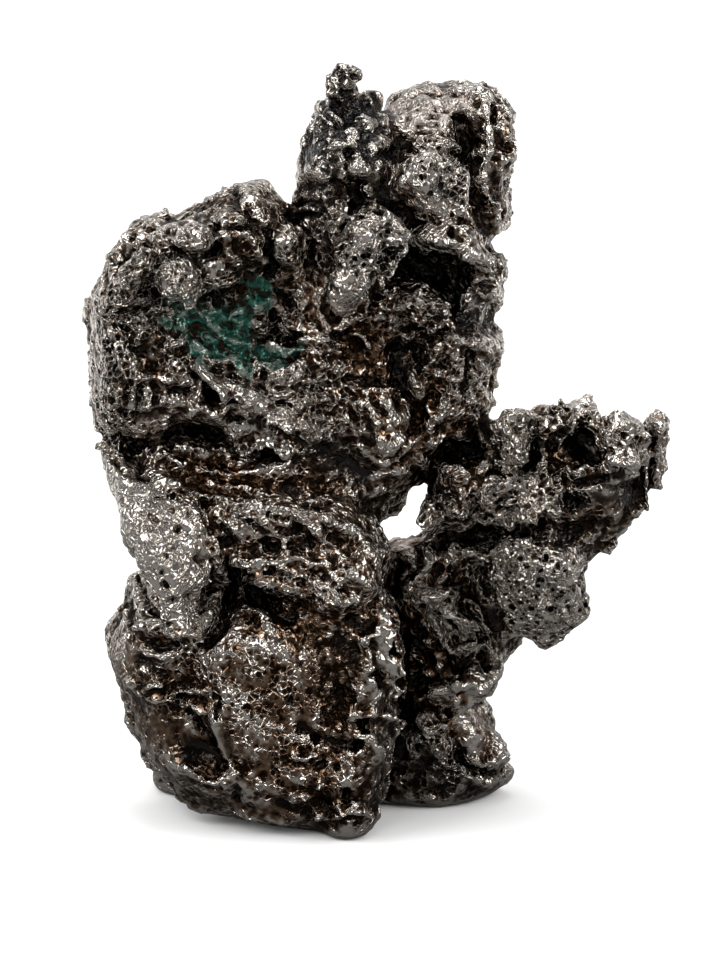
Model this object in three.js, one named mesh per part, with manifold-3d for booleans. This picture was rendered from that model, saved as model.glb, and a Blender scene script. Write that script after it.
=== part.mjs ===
// An iron meteorite, about 78 mm tall: one lump of torn and melted nickel-iron on three worn feet.
// It is drawn on a sheet, as seen from the front and VIEW_ANGLE above the horizon, in millimetres from the
// sheet's lower left corner. Each form has its place on the sheet (across, up) and its depth behind the
// sheet's zero plane, and onSheet() carries the three into the part's frame, where +Z is up.
import * as THREE from "three";
import { mergeVertices } from "three/addons/utils/BufferGeometryUtils.js";
import { ImprovedNoise } from "three/addons/math/ImprovedNoise.js";
import Module from "manifold-3d";

const wasm = await Module();
wasm.setup();

// Driving dimensions, in millimetres and degrees.
const VIEW_ANGLE = 15;
const FLOOR_UP = 14.63; // height of the ground under the sheet's corner
const GROUND = { width: 200, thickness: 50 }; // of the block that levels the feet

// How the skin is worn: waves in the depth of the masses, and grain that moves every point of the skin.
const WAVE = { share: 0.2, size: 8 }; // of a mass's own depth, and from one wave to the next
const GRAIN = { amount: 0.7, size: 4.2 };
const LUMP_GRAIN = { amount: 0.6, size: 2.6 };
const RIDGE_GRAIN = { amount: 0.35, size: 2.2 };

const PILLOW = 0.72; // 1 gives a mass an elliptic section, less makes it flatter with rounder edges
const FINGER_END = 0.5; // 1 gives a ridge pointed ends, less makes them rounder
const RELIEF_FROM = 0.45; // share of the way from a mass's outline to its pole at which relief is full

const rise = Math.sin(THREE.MathUtils.degToRad(VIEW_ANGLE));
const run = Math.cos(THREE.MathUtils.degToRad(VIEW_ANGLE));
const noise = new ImprovedNoise();

// A point on the sheet, at a depth behind it, as a point in the part's frame.
function onSheet(across, up, depth) {
  return new THREE.Vector3(across, depth, (up - depth * rise) / run - FLOOR_UP);
}

// Moves each vertex of a geometry to where place() puts it.
function reshape(geometry, place) {
  const position = geometry.getAttribute("position");
  const vertex = new THREE.Vector3();
  for (let i = 0; i < position.count; i++) {
    place(vertex.fromBufferAttribute(position, i));
    position.setXYZ(i, vertex.x, vertex.y, vertex.z);
  }
  return geometry;
}

// Swells and sinks the skin by smooth noise, the same for vertices at the same place.
function roughen(geometry, { amount, size }) {
  return reshape(geometry, (v) => {
    const [x, y, z] = [v.x / size, v.y / size, v.z / size];
    v.x += amount * noise.noise(x + 7.3, y, z);
    v.y += amount * noise.noise(x, y + 31.7, z);
    v.z += amount * noise.noise(x, y, z + 57.1);
  });
}

// A closed geometry as a manifold-3d solid, turned right side out if need be.
function solid(geometry) {
  geometry.deleteAttribute("normal");
  geometry.deleteAttribute("uv");
  const merged = mergeVertices(geometry, 1e-4);
  const triVerts = new Uint32Array(merged.index.array);
  const vertProperties = new Float32Array(merged.attributes.position.array);
  const made = new wasm.Manifold(new wasm.Mesh({ numProp: 3, vertProperties, triVerts }));
  if (made.volume() > 0) return made;
  for (let i = 0; i < triVerts.length; i += 3) {
    [triVerts[i + 1], triVerts[i + 2]] = [triVerts[i + 2], triVerts[i + 1]];
  }
  return new wasm.Manifold(new wasm.Mesh({ numProp: 3, vertProperties, triVerts }));
}

// How far a point of the sheet is from a line through points [across, up].
function distanceTo(line, across, up) {
  const [first, ...others] = line;
  let least = Math.hypot(across - first[0], up - first[1]);
  others.forEach(([toAcross, toUp], i) => {
    const [fromAcross, fromUp] = line[i];
    const [stepAcross, stepUp] = [toAcross - fromAcross, toUp - fromUp];
    const along = (across - fromAcross) * stepAcross + (up - fromUp) * stepUp;
    const share = THREE.MathUtils.clamp(along / (stepAcross ** 2 + stepUp ** 2), 0, 1);
    least = Math.min(
      least,
      Math.hypot(across - fromAcross - share * stepAcross, up - fromUp - share * stepUp),
    );
  });
  return least;
}

// How high the relief stands at a point of the sheet: each stroke is a rounded ridge along its line, or
// a groove if its height is negative.
function reliefAt(strokes, across, up) {
  return strokes.reduce((sum, { line, width, height }) => {
    return sum + height * Math.exp(-((distanceTo(line, across, up) / width) ** 2));
  }, 0);
}

// A mass: a ball whose equator is drawn out to a closed outline on the sheet, and whose poles stand front
// and back of it, along the line of sight. lean gives how the equator's depth changes across and up.
function mass({ middle, outline, depth, front, back, lean = [0, 0], detail = 4 }) {
  const curve = new THREE.CatmullRomCurve3(
    outline.map(([across, up]) => new THREE.Vector3(across, up, 0)),
    true,
  );
  const drawn = reshape(new THREE.IcosahedronGeometry(1, detail), (v) => {
    const around = Math.atan2(v.y, v.x) / (2 * Math.PI);
    const edge = curve.getPointAt(((around % 1) + 1) % 1);
    const reach = Math.pow(Math.hypot(v.x, v.y), PILLOW);
    const across = middle[0] + reach * (edge.x - middle[0]);
    const up = middle[1] + reach * (edge.y - middle[1]);
    const side = v.z < 0 ? { full: front, strokes: FRONT_RELIEF } : { full: back, strokes: BACK_RELIEF };
    const wave = 1 + WAVE.share * noise.noise(across / WAVE.size, up / WAVE.size, side.full);
    const height = Math.abs(v.z);
    const relief = THREE.MathUtils.smoothstep(height, 0, RELIEF_FROM) * reliefAt(side.strokes, across, up);
    const swell = Math.sign(v.z) * (Math.pow(height, PILLOW) * wave * side.full + relief);
    const tilt = lean[0] * (across - middle[0]) + lean[1] * (up - middle[1]);
    v.copy(onSheet(across, up, depth + tilt)).add(new THREE.Vector3(0, swell * run, -swell * rise));
  });
  return solid(roughen(drawn, GRAIN));
}

// A round lump: [across, up, depth], its three half sizes, and how far it is turned on the sheet.
function lump(place, size, turn = 0, detail = 1) {
  const ball = new THREE.IcosahedronGeometry(1, detail).scale(size[0], size[1], size[2]);
  ball.rotateY(-THREE.MathUtils.degToRad(turn));
  const middle = onSheet(...place);
  return solid(roughen(ball.translate(middle.x, middle.y, middle.z), LUMP_GRAIN));
}

// A ridge or finger: a sphere drawn out along a curve through [across, up, depth, radius] points.
function ridge(points, { segments = 5, steps = 2 } = {}) {
  const curve = new THREE.CatmullRomCurve3(points.map(([across, up, depth]) => onSheet(across, up, depth)));
  const radius = new THREE.SplineCurve(points.map((point, i) => new THREE.Vector2(i, point[3])));
  const rings = steps * points.length;
  const frames = curve.computeFrenetFrames(rings);
  const ball = reshape(new THREE.SphereGeometry(1, segments, rings), (v) => {
    const ring = Math.round((Math.acos(THREE.MathUtils.clamp(v.y, -1, 1)) / Math.PI) * rings);
    const along = ring / rings;
    const girth = Math.pow(Math.sin(along * Math.PI), FINGER_END) * radius.getPoint(along).y;
    const turn = Math.atan2(v.z, v.x);
    v.copy(curve.getPointAt(along))
      .addScaledVector(frames.normals[ring], girth * Math.cos(turn))
      .addScaledVector(frames.binormals[ring], girth * Math.sin(turn));
  });
  return solid(roughen(ball, RIDGE_GRAIN));
}

// Ridges and grooves on the front of the masses: a line on the sheet, a width and a height.
const FRONT_RELIEF = [
  // belly
  { line: [[21, 34], [21, 27], [22.8, 20.5]], width: 1.5, height: 1.1 },
  { line: [[14.6, 31.4], [15.6, 28.8]], width: 2.8, height: 2.2 },
  { line: [[13.6, 26.6], [17.4, 26], [19.4, 27.6]], width: 1.0, height: -0.8 },
  { line: [[26, 32], [29, 27], [28, 22]], width: 3.0, height: 1.0 },
  { line: [[20.2, 21.2], [21.4, 20.4]], width: 1.8, height: -1.4 },
  { line: [[17.6, 19.4], [21.4, 18.6], [24, 17], [28, 15.8]], width: 1.5, height: 1.4 },
  { line: [[36.6, 34], [37.4, 30], [37.4, 26]], width: 1.6, height: 1.6 },
  { line: [[33.4, 31], [34.4, 26], [33.6, 22.4]], width: 1.4, height: -1.1 },
  { line: [[36.8, 22.6], [36.2, 19.6]], width: 1.7, height: 1.5 },
  { line: [[31.4, 20.6], [34.4, 20.2]], width: 1.2, height: -1.1 },
  { line: [[30.6, 17.4], [34.4, 17.4], [35.6, 14.4]], width: 1.5, height: 1.8 },
  { line: [[32.6, 14.8], [33.2, 17]], width: 0.8, height: -1.0 },
  // shoulder
  { line: [[22, 37.6], [26, 36.2], [31, 35.2], [35.4, 34.6]], width: 1.5, height: -1.8 },
  { line: [[33.4, 37], [36.4, 39.2]], width: 2.1, height: 2.6 },
  { line: [[25.4, 38.6], [30.6, 37.8]], width: 1.6, height: 1.7 },
  { line: [[23, 41.2], [29, 41.0], [34.4, 41.6]], width: 1.1, height: -1.5 },
  { line: [[27.6, 43.4], [33.6, 43.2]], width: 1.5, height: 1.3 },
  { line: [[21.4, 45.4], [25.4, 44.2]], width: 1.4, height: 1.2 },
  // recess and ledge
  { line: [[15, 50.6], [21, 50.8], [28, 49.2]], width: 2.0, height: -2.2 },
  { line: [[30, 49.4], [34.6, 48.2]], width: 2.4, height: -1.6 },
  { line: [[17, 49.4], [18.8, 47.2]], width: 1.2, height: 1.6 },
  { line: [[10.6, 54.8], [15, 54.2], [20, 54.8], [25, 53.6], [31, 52.8]], width: 1.8, height: 2.0 },
  { line: [[20, 59.2], [24.4, 57], [27.6, 55.2], [32, 54.6]], width: 1.3, height: 1.5 },
  { line: [[21.4, 56.8], [25.6, 55.2]], width: 1.0, height: -0.9 },
  // upper left, with the hollow bed under its top lumps
  { line: [[17.6, 64.2], [22, 62.6], [27.6, 61.8]], width: 2.8, height: -2.8 },
  { line: [[24.4, 66.6], [28.6, 67]], width: 2.0, height: -1.8 },
  { line: [[17.2, 68.4], [19.6, 68.8]], width: 2.2, height: 2.4 },
  { line: [[16.6, 72.4], [20.6, 72.6]], width: 2.0, height: 2.0 },
  { line: [[15.4, 70.4], [22.4, 70.2]], width: 0.9, height: -1.2 },
  { line: [[13.2, 67], [15.8, 68.8]], width: 1.1, height: 1.4 },
  { line: [[22.6, 71], [26.4, 74.4]], width: 2.2, height: 1.8 },
  { line: [[25.6, 71], [28, 72.6]], width: 1.1, height: 1.0 },
  { line: [[11.4, 64], [11.8, 58], [12.6, 55.6]], width: 2.6, height: 1.6 },
  { line: [[15.4, 62], [15.8, 58.4]], width: 1.2, height: -0.8 },
  { line: [[29.4, 58], [31.6, 61.6]], width: 2.0, height: 1.8 },
  // neck
  { line: [[40.6, 62.6], [42.4, 59.4], [41.6, 54.8]], width: 1.7, height: -2.8 },
  { line: [[45.4, 61.6], [47, 60.2]], width: 1.8, height: 2.0 },
  { line: [[44, 57.6], [44.6, 55]], width: 1.7, height: 1.6 },
  { line: [[46.4, 52.4], [45.6, 50]], width: 2.2, height: -2.4 },
  { line: [[48.2, 56.6], [48.2, 54.6]], width: 1.2, height: 1.1 },
  // head
  { line: [[32.4, 80], [32.2, 75.4], [32.6, 71.4]], width: 1.7, height: 1.7 },
  { line: [[37.4, 81.4], [37.2, 77]], width: 1.5, height: 1.6 },
  { line: [[34.8, 78.6], [34.8, 74.4]], width: 1.0, height: -1.3 },
  { line: [[35, 81], [36.4, 80.2]], width: 1.2, height: 1.3 },
  { line: [[46.8, 83.6], [46.8, 78]], width: 1.5, height: -3.0 },
  { line: [[41, 84.6], [43.6, 85]], width: 2.2, height: 0.9 },
  // wall and right foot
  { line: [[40.8, 39], [40.2, 31], [40.6, 24]], width: 1.3, height: -1.8 },
  { line: [[42.6, 40], [42.2, 33], [43.4, 27.4]], width: 1.0, height: 1.1 },
  { line: [[44.2, 36], [46.4, 32.2]], width: 1.5, height: 2.4 },
  { line: [[48.2, 38], [48.8, 33.6]], width: 1.3, height: -1.8 },
  { line: [[46.8, 28], [50.4, 30.6]], width: 1.3, height: 1.4 },
  { line: [[46.4, 25], [47.6, 21.4], [48.4, 18.4]], width: 1.3, height: 1.4 },
  { line: [[40.6, 20.6], [44.6, 17.4]], width: 1.6, height: 1.0 },
  // arm
  { line: [[56, 50.6], [58.6, 51.6]], width: 1.9, height: -2.6 },
  { line: [[54.6, 54], [60, 53.6]], width: 1.1, height: 1.2 },
  { line: [[53.4, 51.8], [53.8, 49.4]], width: 0.9, height: 0.9 },
  { line: [[50, 49.4], [56, 49]], width: 0.9, height: -1.3 },
  { line: [[59, 47.4], [61.6, 45.2]], width: 1.9, height: 1.2 },
  // pitted lobe
  { line: [[52, 39], [55.6, 39.8]], width: 1.8, height: 1.2 },
  { line: [[51.6, 36.8], [56, 36.6]], width: 1.0, height: -0.9 },
  { line: [[53, 35], [56.4, 34.8]], width: 1.2, height: 0.9 },
];

// Ridges and grooves on the back of the masses, on the same sheet.
const BACK_RELIEF = [
  { line: [[16, 66], [21, 60]], width: 3.4, height: -3.0 },
  { line: [[13, 58], [20, 54.4], [27, 58]], width: 2.2, height: 2.4 },
  { line: [[24, 72], [30, 66], [33, 60]], width: 2.2, height: 2.2 },
  { line: [[25, 50], [32, 46]], width: 3.4, height: -2.6 },
  { line: [[17, 44], [24, 40.4], [33, 38.6]], width: 2.4, height: 2.4 },
  { line: [[18, 33], [24, 30.4]], width: 3.6, height: -3.2 },
  { line: [[31, 34], [33.6, 27], [31, 20]], width: 2.4, height: 2.2 },
  { line: [[42, 33], [46, 36.6]], width: 3.0, height: -2.2 },
  { line: [[44, 42.4], [50, 41]], width: 1.8, height: 1.8 },
  { line: [[40, 60], [45, 56.4]], width: 3.0, height: -2.2 },
  { line: [[38, 68], [46, 66]], width: 2.0, height: 2.0 },
  { line: [[37, 78], [40, 74]], width: 2.4, height: -2.0 },
  { line: [[43.6, 84], [45.6, 76]], width: 2.0, height: 1.6 },
  { line: [[53, 50.4], [60, 49.4]], width: 2.2, height: -1.8 },
  { line: [[42, 21.4], [46, 18]], width: 2.2, height: 1.4 },
];

// The great masses, each drawn by its outline as it shows from the front, anticlockwise from its right.
const masses = () => [
  mass({
    // upper left
    middle: [20.5, 64],
    outline: [
      [34, 63], [33, 68], [30.2, 71.4], [28.8, 74.0], [27.3, 76.4], [26.4, 77.6], [24.6, 77.9],
      [22.9, 76.8], [21.2, 75.4], [18.6, 74.4], [15.2, 73.9], [12.8, 71.6], [10.6, 69.4], [9.0, 67.0],
      [8.3, 63.8], [8.5, 60.2], [8.9, 56.2], [9.2, 53.2], [13, 52.4], [18, 52.4], [23, 52.0],
      [28, 51.5], [33, 54],
    ],
    depth: 2, front: 10, back: 11, detail: 6,
  }),
  mass({
    // lower left, the belly
    middle: [26, 27],
    outline: [
      [39.4, 27.5], [39.2, 31.5], [38.6, 35], [38.4, 38.5], [35.5, 41.5], [28, 42], [20, 41.4],
      [13.8, 38.6], [12.2, 36], [11, 33], [10.8, 30.6], [11.4, 28.2], [12.6, 25], [14, 21.6],
      [15.4, 18.8], [17.8, 16.6], [20.2, 15.1], [24, 14.0], [28, 13.2], [32, 12.2], [35.4, 12.0],
      [37.2, 13.6], [38.2, 17], [38.6, 22],
    ],
    depth: -0.5, front: 8.5, back: 10.5, lean: [-0.16, 0.14], detail: 5,
  }),
  mass({
    // shoulder, between the ledge and the belly
    middle: [29, 40],
    outline: [
      [39.2, 39.5], [38.0, 42.8], [37.2, 44.6], [34, 47], [28, 48], [22, 46.5], [17, 43], [18, 38],
      [24, 34.8], [30, 33.4], [36, 34.4],
    ],
    depth: 0, front: 9, back: 10,
  }),
  mass({
    // core, behind the ledge
    middle: [28, 52],
    outline: [
      [40.2, 49.4], [42, 54], [38, 63], [28, 66], [18, 62], [12.4, 56], [9.6, 51], [11.4, 47.6],
      [13, 43.6], [20, 41], [30, 40], [37.8, 43.2],
    ],
    depth: 3.5, front: 8.5, back: 9, detail: 3,
  }),
  mass({
    // neck, between the head and the core
    middle: [41, 60],
    outline: [
      [49.3, 58.4], [49.9, 61.2], [48.9, 63.4], [49.6, 66.4], [50.3, 69.2], [49.4, 71], [46, 73],
      [38, 73], [31.6, 70], [30, 60], [33, 51], [36.4, 43.4], [38.2, 43.0], [39.4, 45.2], [41.6, 48],
      [46, 50.4], [48.6, 53.4], [49.3, 55.6],
    ],
    depth: 5, front: 8, back: 8,
  }),
  mass({
    // left of the head
    middle: [34.6, 76],
    outline: [
      [41, 77], [39.6, 82], [37.4, 84.4], [35.6, 86.2], [33.2, 86.2], [31.6, 84.8], [30.9, 82.4],
      [30.4, 79.4], [29.7, 77.2], [30.0, 74.8], [30.8, 71.6], [33, 67], [38, 66], [41, 71],
    ],
    depth: 3, front: 7.5, back: 7,
  }),
  mass({
    // right of the head
    middle: [44, 79],
    outline: [
      [50.5, 79.2], [50.8, 82], [50.4, 84.6], [49, 87], [47.2, 87.9], [45.4, 87.8], [44.2, 86.9],
      [41.4, 86.8], [39.2, 85.6], [38.0, 83.6], [37.4, 78], [39.6, 72], [44, 70.4], [48.4, 71.6],
      [50.2, 74], [50.5, 76.4], [49.7, 77.8],
    ],
    depth: 6.5, front: 7.5, back: 8, lean: [0, 0.3],
  }),
  mass({
    // wall that closes the lower right hollow at the back
    middle: [47, 34],
    outline: [
      [56, 35], [57, 38], [58, 41], [55, 43], [50, 44.2], [44.5, 43.9], [41, 42.1], [38, 41], [36, 30],
      [38, 22], [42, 23], [46, 25], [47.8, 26.6], [49.4, 27.8], [50, 30.4], [51.4, 32.0], [53.0, 33.2],
    ],
    depth: 8, front: 6, back: 6, detail: 3,
  }),
  mass({
    // right foot
    middle: [43, 20],
    outline: [
      [50.7, 19.6], [49.8, 22.0], [48.4, 24.6], [47, 26.6], [43, 28], [38, 26], [35, 20], [36.4, 14.6],
      [39.6, 14.0], [44, 13.6], [47, 14.4], [49.6, 16.0], [50.7, 17.8],
    ],
    depth: 8, front: 6.5, back: 6, detail: 3,
  }),
  mass({
    // arm
    middle: [54, 47.5],
    outline: [
      [63.8, 46], [64.2, 49], [63.6, 52.6], [60, 54.2], [56, 54.8], [51, 54.2], [47.8, 52.6],
      [44.5, 50], [43, 46.4], [45, 44], [52, 42.4], [56, 40], [58.6, 40.0], [60.8, 41.4], [62.6, 43.4],
    ],
    depth: 3.5, front: 6, back: 7,
  }),
  mass({
    // pitted lobe under the arm
    middle: [54.2, 37.6],
    outline: [
      [58.1, 37.2], [58.4, 40.4], [56.4, 43], [51.5, 42.4], [49.6, 39.8], [50, 36.8], [51.4, 34.2],
      [54.2, 32.6], [57.4, 33.6],
    ],
    depth: 1, front: 7.5, back: 8, detail: 3,
  }),
];

// Growths that stand out from the masses of the lower half.
const lowerGrowths = () => [
  // tongue that hangs over the belly
  ridge([
    [10.4, 52.4, 0, 1.4], [12.2, 49.2, -2, 2.2], [14.6, 46, -5, 3.2], [16.6, 42.4, -7.5, 3.9],
    [18.0, 38.8, -9, 4.0], [18.2, 35.8, -9, 3.6], [18.6, 33.4, -9, 2.4],
  ], { segments: 8 }),
  // rim on the belly's right edge
  ridge([[38.0, 36, -5, 1.3], [38.6, 33.5, -6.5, 1.5], [38.8, 30, -7, 1.3], [39.0, 27, -6.5, 1.1]]),
  // front foot
  lump([34.8, 14.4, -6], [3.0, 4.0, 2.8], 10),
  // lumps in the lower right hollow
  ridge([[42.6, 35.6, 1.5, 1.5], [44.6, 33.6, 0, 1.9], [46.6, 31.8, 0.5, 1.7]]),
  ridge([[43.8, 37.6, 2.5, 1.3], [45.4, 35.6, 2, 1.4], [47.4, 33, 2.5, 1.3]]),
  // lower edge of the hollow
  ridge([[50.4, 29.6, 4, 1.8], [48, 28, 1.5, 1.6], [45, 26.6, -0.5, 1.7], [43.2, 26.2, 2, 1.6]]),
  ridge([[43.2, 25, 3, 1.4], [42.8, 22.8, 1.2, 1.9], [44.2, 20.8, 1.4, 1.7], [45.4, 19, 2, 1.5]]),
];

// Growths on the head and the neck.
const headGrowths = () => [
  // prongs on top
  ridge([
    [34.4, 82.6, 1.5, 2.4], [33.8, 85.6, 0.5, 1.7], [34.0, 87.6, 0, 1.6], [35.4, 88.4, 0, 1.7],
    [37.0, 88.2, 0, 1.2],
  ]),
  ridge([[36.2, 82.6, 3.4, 1.7], [36.6, 85.2, 3, 1.4], [38.0, 86.4, 3, 1.6], [39.2, 87.2, 3, 1.0]]),
  // front knobs
  ridge([[40.4, 76.4, 1, 3.0], [42.0, 77.0, -6, 2.5], [43.6, 78.6, -10, 2.7], [44.6, 80.6, -10.6, 1.8]]),
  lump([43.6, 77.4, -10.6], [2.5, 2.4, 2.5]),
  ridge([[36.8, 70, 0, 3.2], [37.2, 71.4, -7, 3.0], [37.2, 72.2, -12, 2.8], [35.2, 73, -13.6, 1.8]]),
  lump([37.8, 71.8, -13], [2.3, 2.2, 2.5]),
  ridge([
    [37.2, 72.4, -12.6, 2.0], [35.6, 69.4, -12.6, 2.4], [34.6, 66.8, -9.4, 1.7], [34.6, 64.4, -5, 1.4],
  ]),
  // rolled rim on the right
  ridge([
    [45.2, 86.2, 6, 1.6], [47.2, 85.8, 4, 1.9], [48.7, 83.8, 2.6, 2.0], [49.2, 81.2, 2, 1.7],
    [49.0, 78.6, 1.6, 1.6], [49.2, 75.8, 1.8, 1.7], [48.6, 73.0, 2.6, 1.6],
  ]),
  // brow over the cave
  ridge([[41, 71.6, -2, 1.5], [43.6, 72.2, -3.6, 1.8], [46.4, 71.2, -3, 1.8], [48.6, 69.4, 0, 1.8]]),
  // ledge below the cave
  ridge([[38, 65.8, -2.4, 1.7], [40.8, 65.4, -4, 1.7], [43.6, 64.9, -3.4, 1.5], [46.6, 65.2, 0, 1.6]]),
  // prow
  ridge([[37.4, 58.5, -1.5, 3.0], [38.0, 55, -3, 3.0], [38.2, 52.2, -4, 2.6], [38.4, 50.2, -5, 1.6]]),
];

// Growths on the arm.
const armGrowths = () => [
  // neck of metal that carries the arm, deep behind the gap
  ridge([[42, 55, 8, 4.2], [46.2, 50.9, 8.5, 4.0], [50.4, 49.2, 7.5, 4.2], [54, 48, 6, 4]]),
  // knobs on its front and top
  ridge([[52.8, 53.4, 1, 1.4], [51.4, 52.4, -2.6, 2.3], [51.0, 49.8, -3.6, 1.8]]),
  lump([61.6, 51.0, -2], [2.8, 3.4, 3.2], 10),
  ridge([[62, 52, 3, 2.4], [65.0, 51.4, 3, 2.0], [65.2, 48.4, 3.6, 1.9], [64.8, 46, 3.6, 1.6]]),
  lump([66.0, 53.2, 2.6], [0.9, 1.6, 1.2]),
  lump([57.8, 54.6, 6], [1.5, 2.2, 1.4]),
  // knobs under it, along the gap
  lump([46.2, 47, -0.4], [2.8, 3, 2.6], 10),
  lump([51.8, 46.6, -3.4], [3.8, 2.6, 2.4], 0),
  lump([43.8, 45.0, 0.6], [1.7, 2.4, 1.6]),
  // strut down to the wall
  ridge([[60.8, 44.8, 4, 2.4], [58.8, 42.6, 3.6, 2.2], [56.8, 40, 3.4, 2.0], [55.8, 37, 4, 1.8]]),
  lump([54.4, 33.0, 0.4], [0.9, 2.2, 1.2]),
];

// The masses that bulge from the back, and the hidden foot.
const backMasses = () => [
  mass({
    // between the upper left and the neck
    middle: [31, 62],
    outline: [
      [41, 62], [38, 69], [33.6, 71.4], [27, 70], [22, 66], [21, 58], [26.4, 53], [34, 52.4],
      [39.6, 56],
    ],
    depth: 9, front: 2, back: 7, detail: 2,
  }),
  mass({
    // waist
    middle: [27, 42.6],
    outline: [
      [36.4, 42], [35.4, 47.4], [30, 51.4], [23, 50.4], [16.4, 48], [14.4, 42], [18.4, 36], [24, 34.4],
      [30.6, 31.4], [36, 36.6],
    ],
    depth: 8, front: 2, back: 8, detail: 2,
  }),
  mass({
    // behind the wall
    middle: [45.6, 33],
    outline: [
      [51.4, 34.4], [50, 39.4], [45.6, 40.8], [41, 39.6], [37.4, 33.4], [38.4, 27], [43, 24.6],
      [47.6, 27.4], [50, 30.4],
    ],
    depth: 11, front: 3, back: 5, detail: 2,
  }),
  mass({
    // foot
    middle: [20.4, 20.4],
    outline: [
      [27, 19], [25.4, 24], [20.4, 27], [15.8, 23.6], [14.4, 19.4], [16, 15.6], [20, 14], [25, 14.6],
    ],
    depth: 9.5, front: 4, back: 6, detail: 2,
  }),
];

// Hollows, cut out of what stands.
const hollows = () => [
  // recess under the ledge
  lump([20, 50.6, -8.6], [8, 3.6, 1.6], 4),
  // cave under the head
  lump([43.6, 68.4, -4.4], [4.4, 7.0, 2.8], 0, 2),
  // hollow between the front knobs
  lump([40.4, 74.4, -6.4], [2.0, 5.4, 2.2], 20),
  // cleft between the head's halves
  lump([39.4, 84.6, -1], [0.8, 6, 2.0], -10),
  // dark band under the arm
  lump([49.2, 42.9, -2.6], [7.0, 6.4, 1.1], 8),
  // lower right hollow
  lump([44, 33.4, -5], [4.6, 6.4, 8.4]),
];

// The stone: everything that stands, less the hollows, cut off level at the ground.
function meteorite() {
  const forms = [masses, backMasses, lowerGrowths, headGrowths, armGrowths];
  const whole = forms.flatMap((make) => make()).reduce((sum, form) => sum.add(form));
  const hollowed = hollows().reduce((rest, form) => rest.subtract(form), whole);
  const { width, thickness } = GROUND;
  const ground = new THREE.BoxGeometry(width, width, thickness).translate(0, 0, -thickness / 2);
  return hollowed.subtract(solid(ground));
}

// The solid as a three.js geometry.
function geometryOf(made) {
  const { numProp, vertProperties, triVerts } = made.getMesh();
  const count = vertProperties.length / numProp;
  const position = new Float32Array(count * 3);
  for (let i = 0; i < count; i++) {
    position.set(vertProperties.subarray(i * numProp, i * numProp + 3), i * 3);
  }
  const geometry = new THREE.BufferGeometry();
  geometry.setAttribute("position", new THREE.BufferAttribute(position, 3));
  geometry.setIndex(new THREE.BufferAttribute(triVerts, 1));
  geometry.computeVertexNormals();
  return geometry;
}

const iron = new THREE.MeshStandardMaterial({ color: 0x4a4440, roughness: 0.42, metalness: 0.9 });
const stone = new THREE.Mesh(geometryOf(meteorite()), iron);
stone.name = "meteorite";

// The part's origin is on the ground, under the middle of the stone.
const middle = new THREE.Box3().setFromObject(stone).getCenter(new THREE.Vector3());
stone.position.set(-middle.x, -middle.y, 0);
const part = new THREE.Group();
part.add(stone);

export default part;
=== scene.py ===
"""The visible skin of a small iron meteorite, its metal, and the white table that it stands on.

Everything is in metres, but the front of the stone is drawn on a sheet, in tenths of a millimetre across and
down from the sheet's upper left corner, as the stone is seen from 15 degrees above. Random relief is in
millimetres.
"""

from __future__ import annotations

import logging
import math
from collections.abc import Callable
from dataclasses import dataclass, field
from enum import Enum

import bmesh
import bpy
import numpy as np
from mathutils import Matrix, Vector

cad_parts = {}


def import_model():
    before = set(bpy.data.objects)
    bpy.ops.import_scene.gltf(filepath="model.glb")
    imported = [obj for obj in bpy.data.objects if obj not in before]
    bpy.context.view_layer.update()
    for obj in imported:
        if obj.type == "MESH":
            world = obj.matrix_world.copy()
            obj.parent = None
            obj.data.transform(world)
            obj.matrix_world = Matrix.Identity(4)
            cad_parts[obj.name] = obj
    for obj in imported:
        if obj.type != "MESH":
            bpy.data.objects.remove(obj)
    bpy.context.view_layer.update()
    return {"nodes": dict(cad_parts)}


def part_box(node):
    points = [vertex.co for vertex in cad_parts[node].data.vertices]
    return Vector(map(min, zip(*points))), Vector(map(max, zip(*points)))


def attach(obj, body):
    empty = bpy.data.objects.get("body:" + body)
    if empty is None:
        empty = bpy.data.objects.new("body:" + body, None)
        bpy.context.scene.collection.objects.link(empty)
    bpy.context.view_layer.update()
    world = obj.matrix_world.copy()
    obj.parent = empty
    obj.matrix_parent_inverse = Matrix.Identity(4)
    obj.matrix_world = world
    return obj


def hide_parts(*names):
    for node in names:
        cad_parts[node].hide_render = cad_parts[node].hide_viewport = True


LOG = logging.getLogger("meteorite")
TENTH = 1e-4
MM = 1e-3
VIEW_ANGLE = math.radians(15)
SHEET_WIDTH = 720
SHEET_HEIGHT = 960
STONE_ACROSS = 376.4
STONE_BACK = 13.14
FLOOR_UP = 146.3
TOWARDS_VIEWER = np.array((0.0, -math.cos(VIEW_ANGLE), math.sin(VIEW_ANGLE)))
LINE_POWER = 2.0
MASK_POWER = 3.0

Line = tuple[tuple[float, float], ...]
Colour = tuple[float, float, float]
Span = tuple[float, float]
Inputs = dict[str | int, object]


def on_sheet(points: np.ndarray) -> np.ndarray:
    """Turns points of the stone into places on the sheet.

    Across is x moved to the sheet's edge; up is y sin(angle) + z cos(angle); the distance along the line of
    sight is y cos(angle) - z sin(angle).

    Args:
        points: (n, 3) points in metres.

    Returns:
        (n, 3) across, down and distance from the viewer, in tenths of a millimetre.
    """
    x, y, z = (points / TENTH).T
    y = y + STONE_BACK
    z = z + FLOOR_UP
    up = y * math.sin(VIEW_ANGLE) + z * math.cos(VIEW_ANGLE)
    far = y * math.cos(VIEW_ANGLE) - z * math.sin(VIEW_ANGLE)
    return np.stack((x + STONE_ACROSS, SHEET_HEIGHT - up, far), axis=1)


def ramp(values: np.ndarray, low: float | np.ndarray, high: float | np.ndarray) -> np.ndarray:
    """Rises smoothly from 0 at low to 1 at high, as 3t^2 - 2t^3.

    Args:
        values: the numbers to ramp.
        low: where the result is 0.
        high: where the result is 1; it may be below low.

    Returns:
        Numbers from 0 to 1.
    """
    t = np.clip((values - low) / (high - low), 0.0, 1.0)
    return t * t * (3.0 - 2.0 * t)


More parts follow.
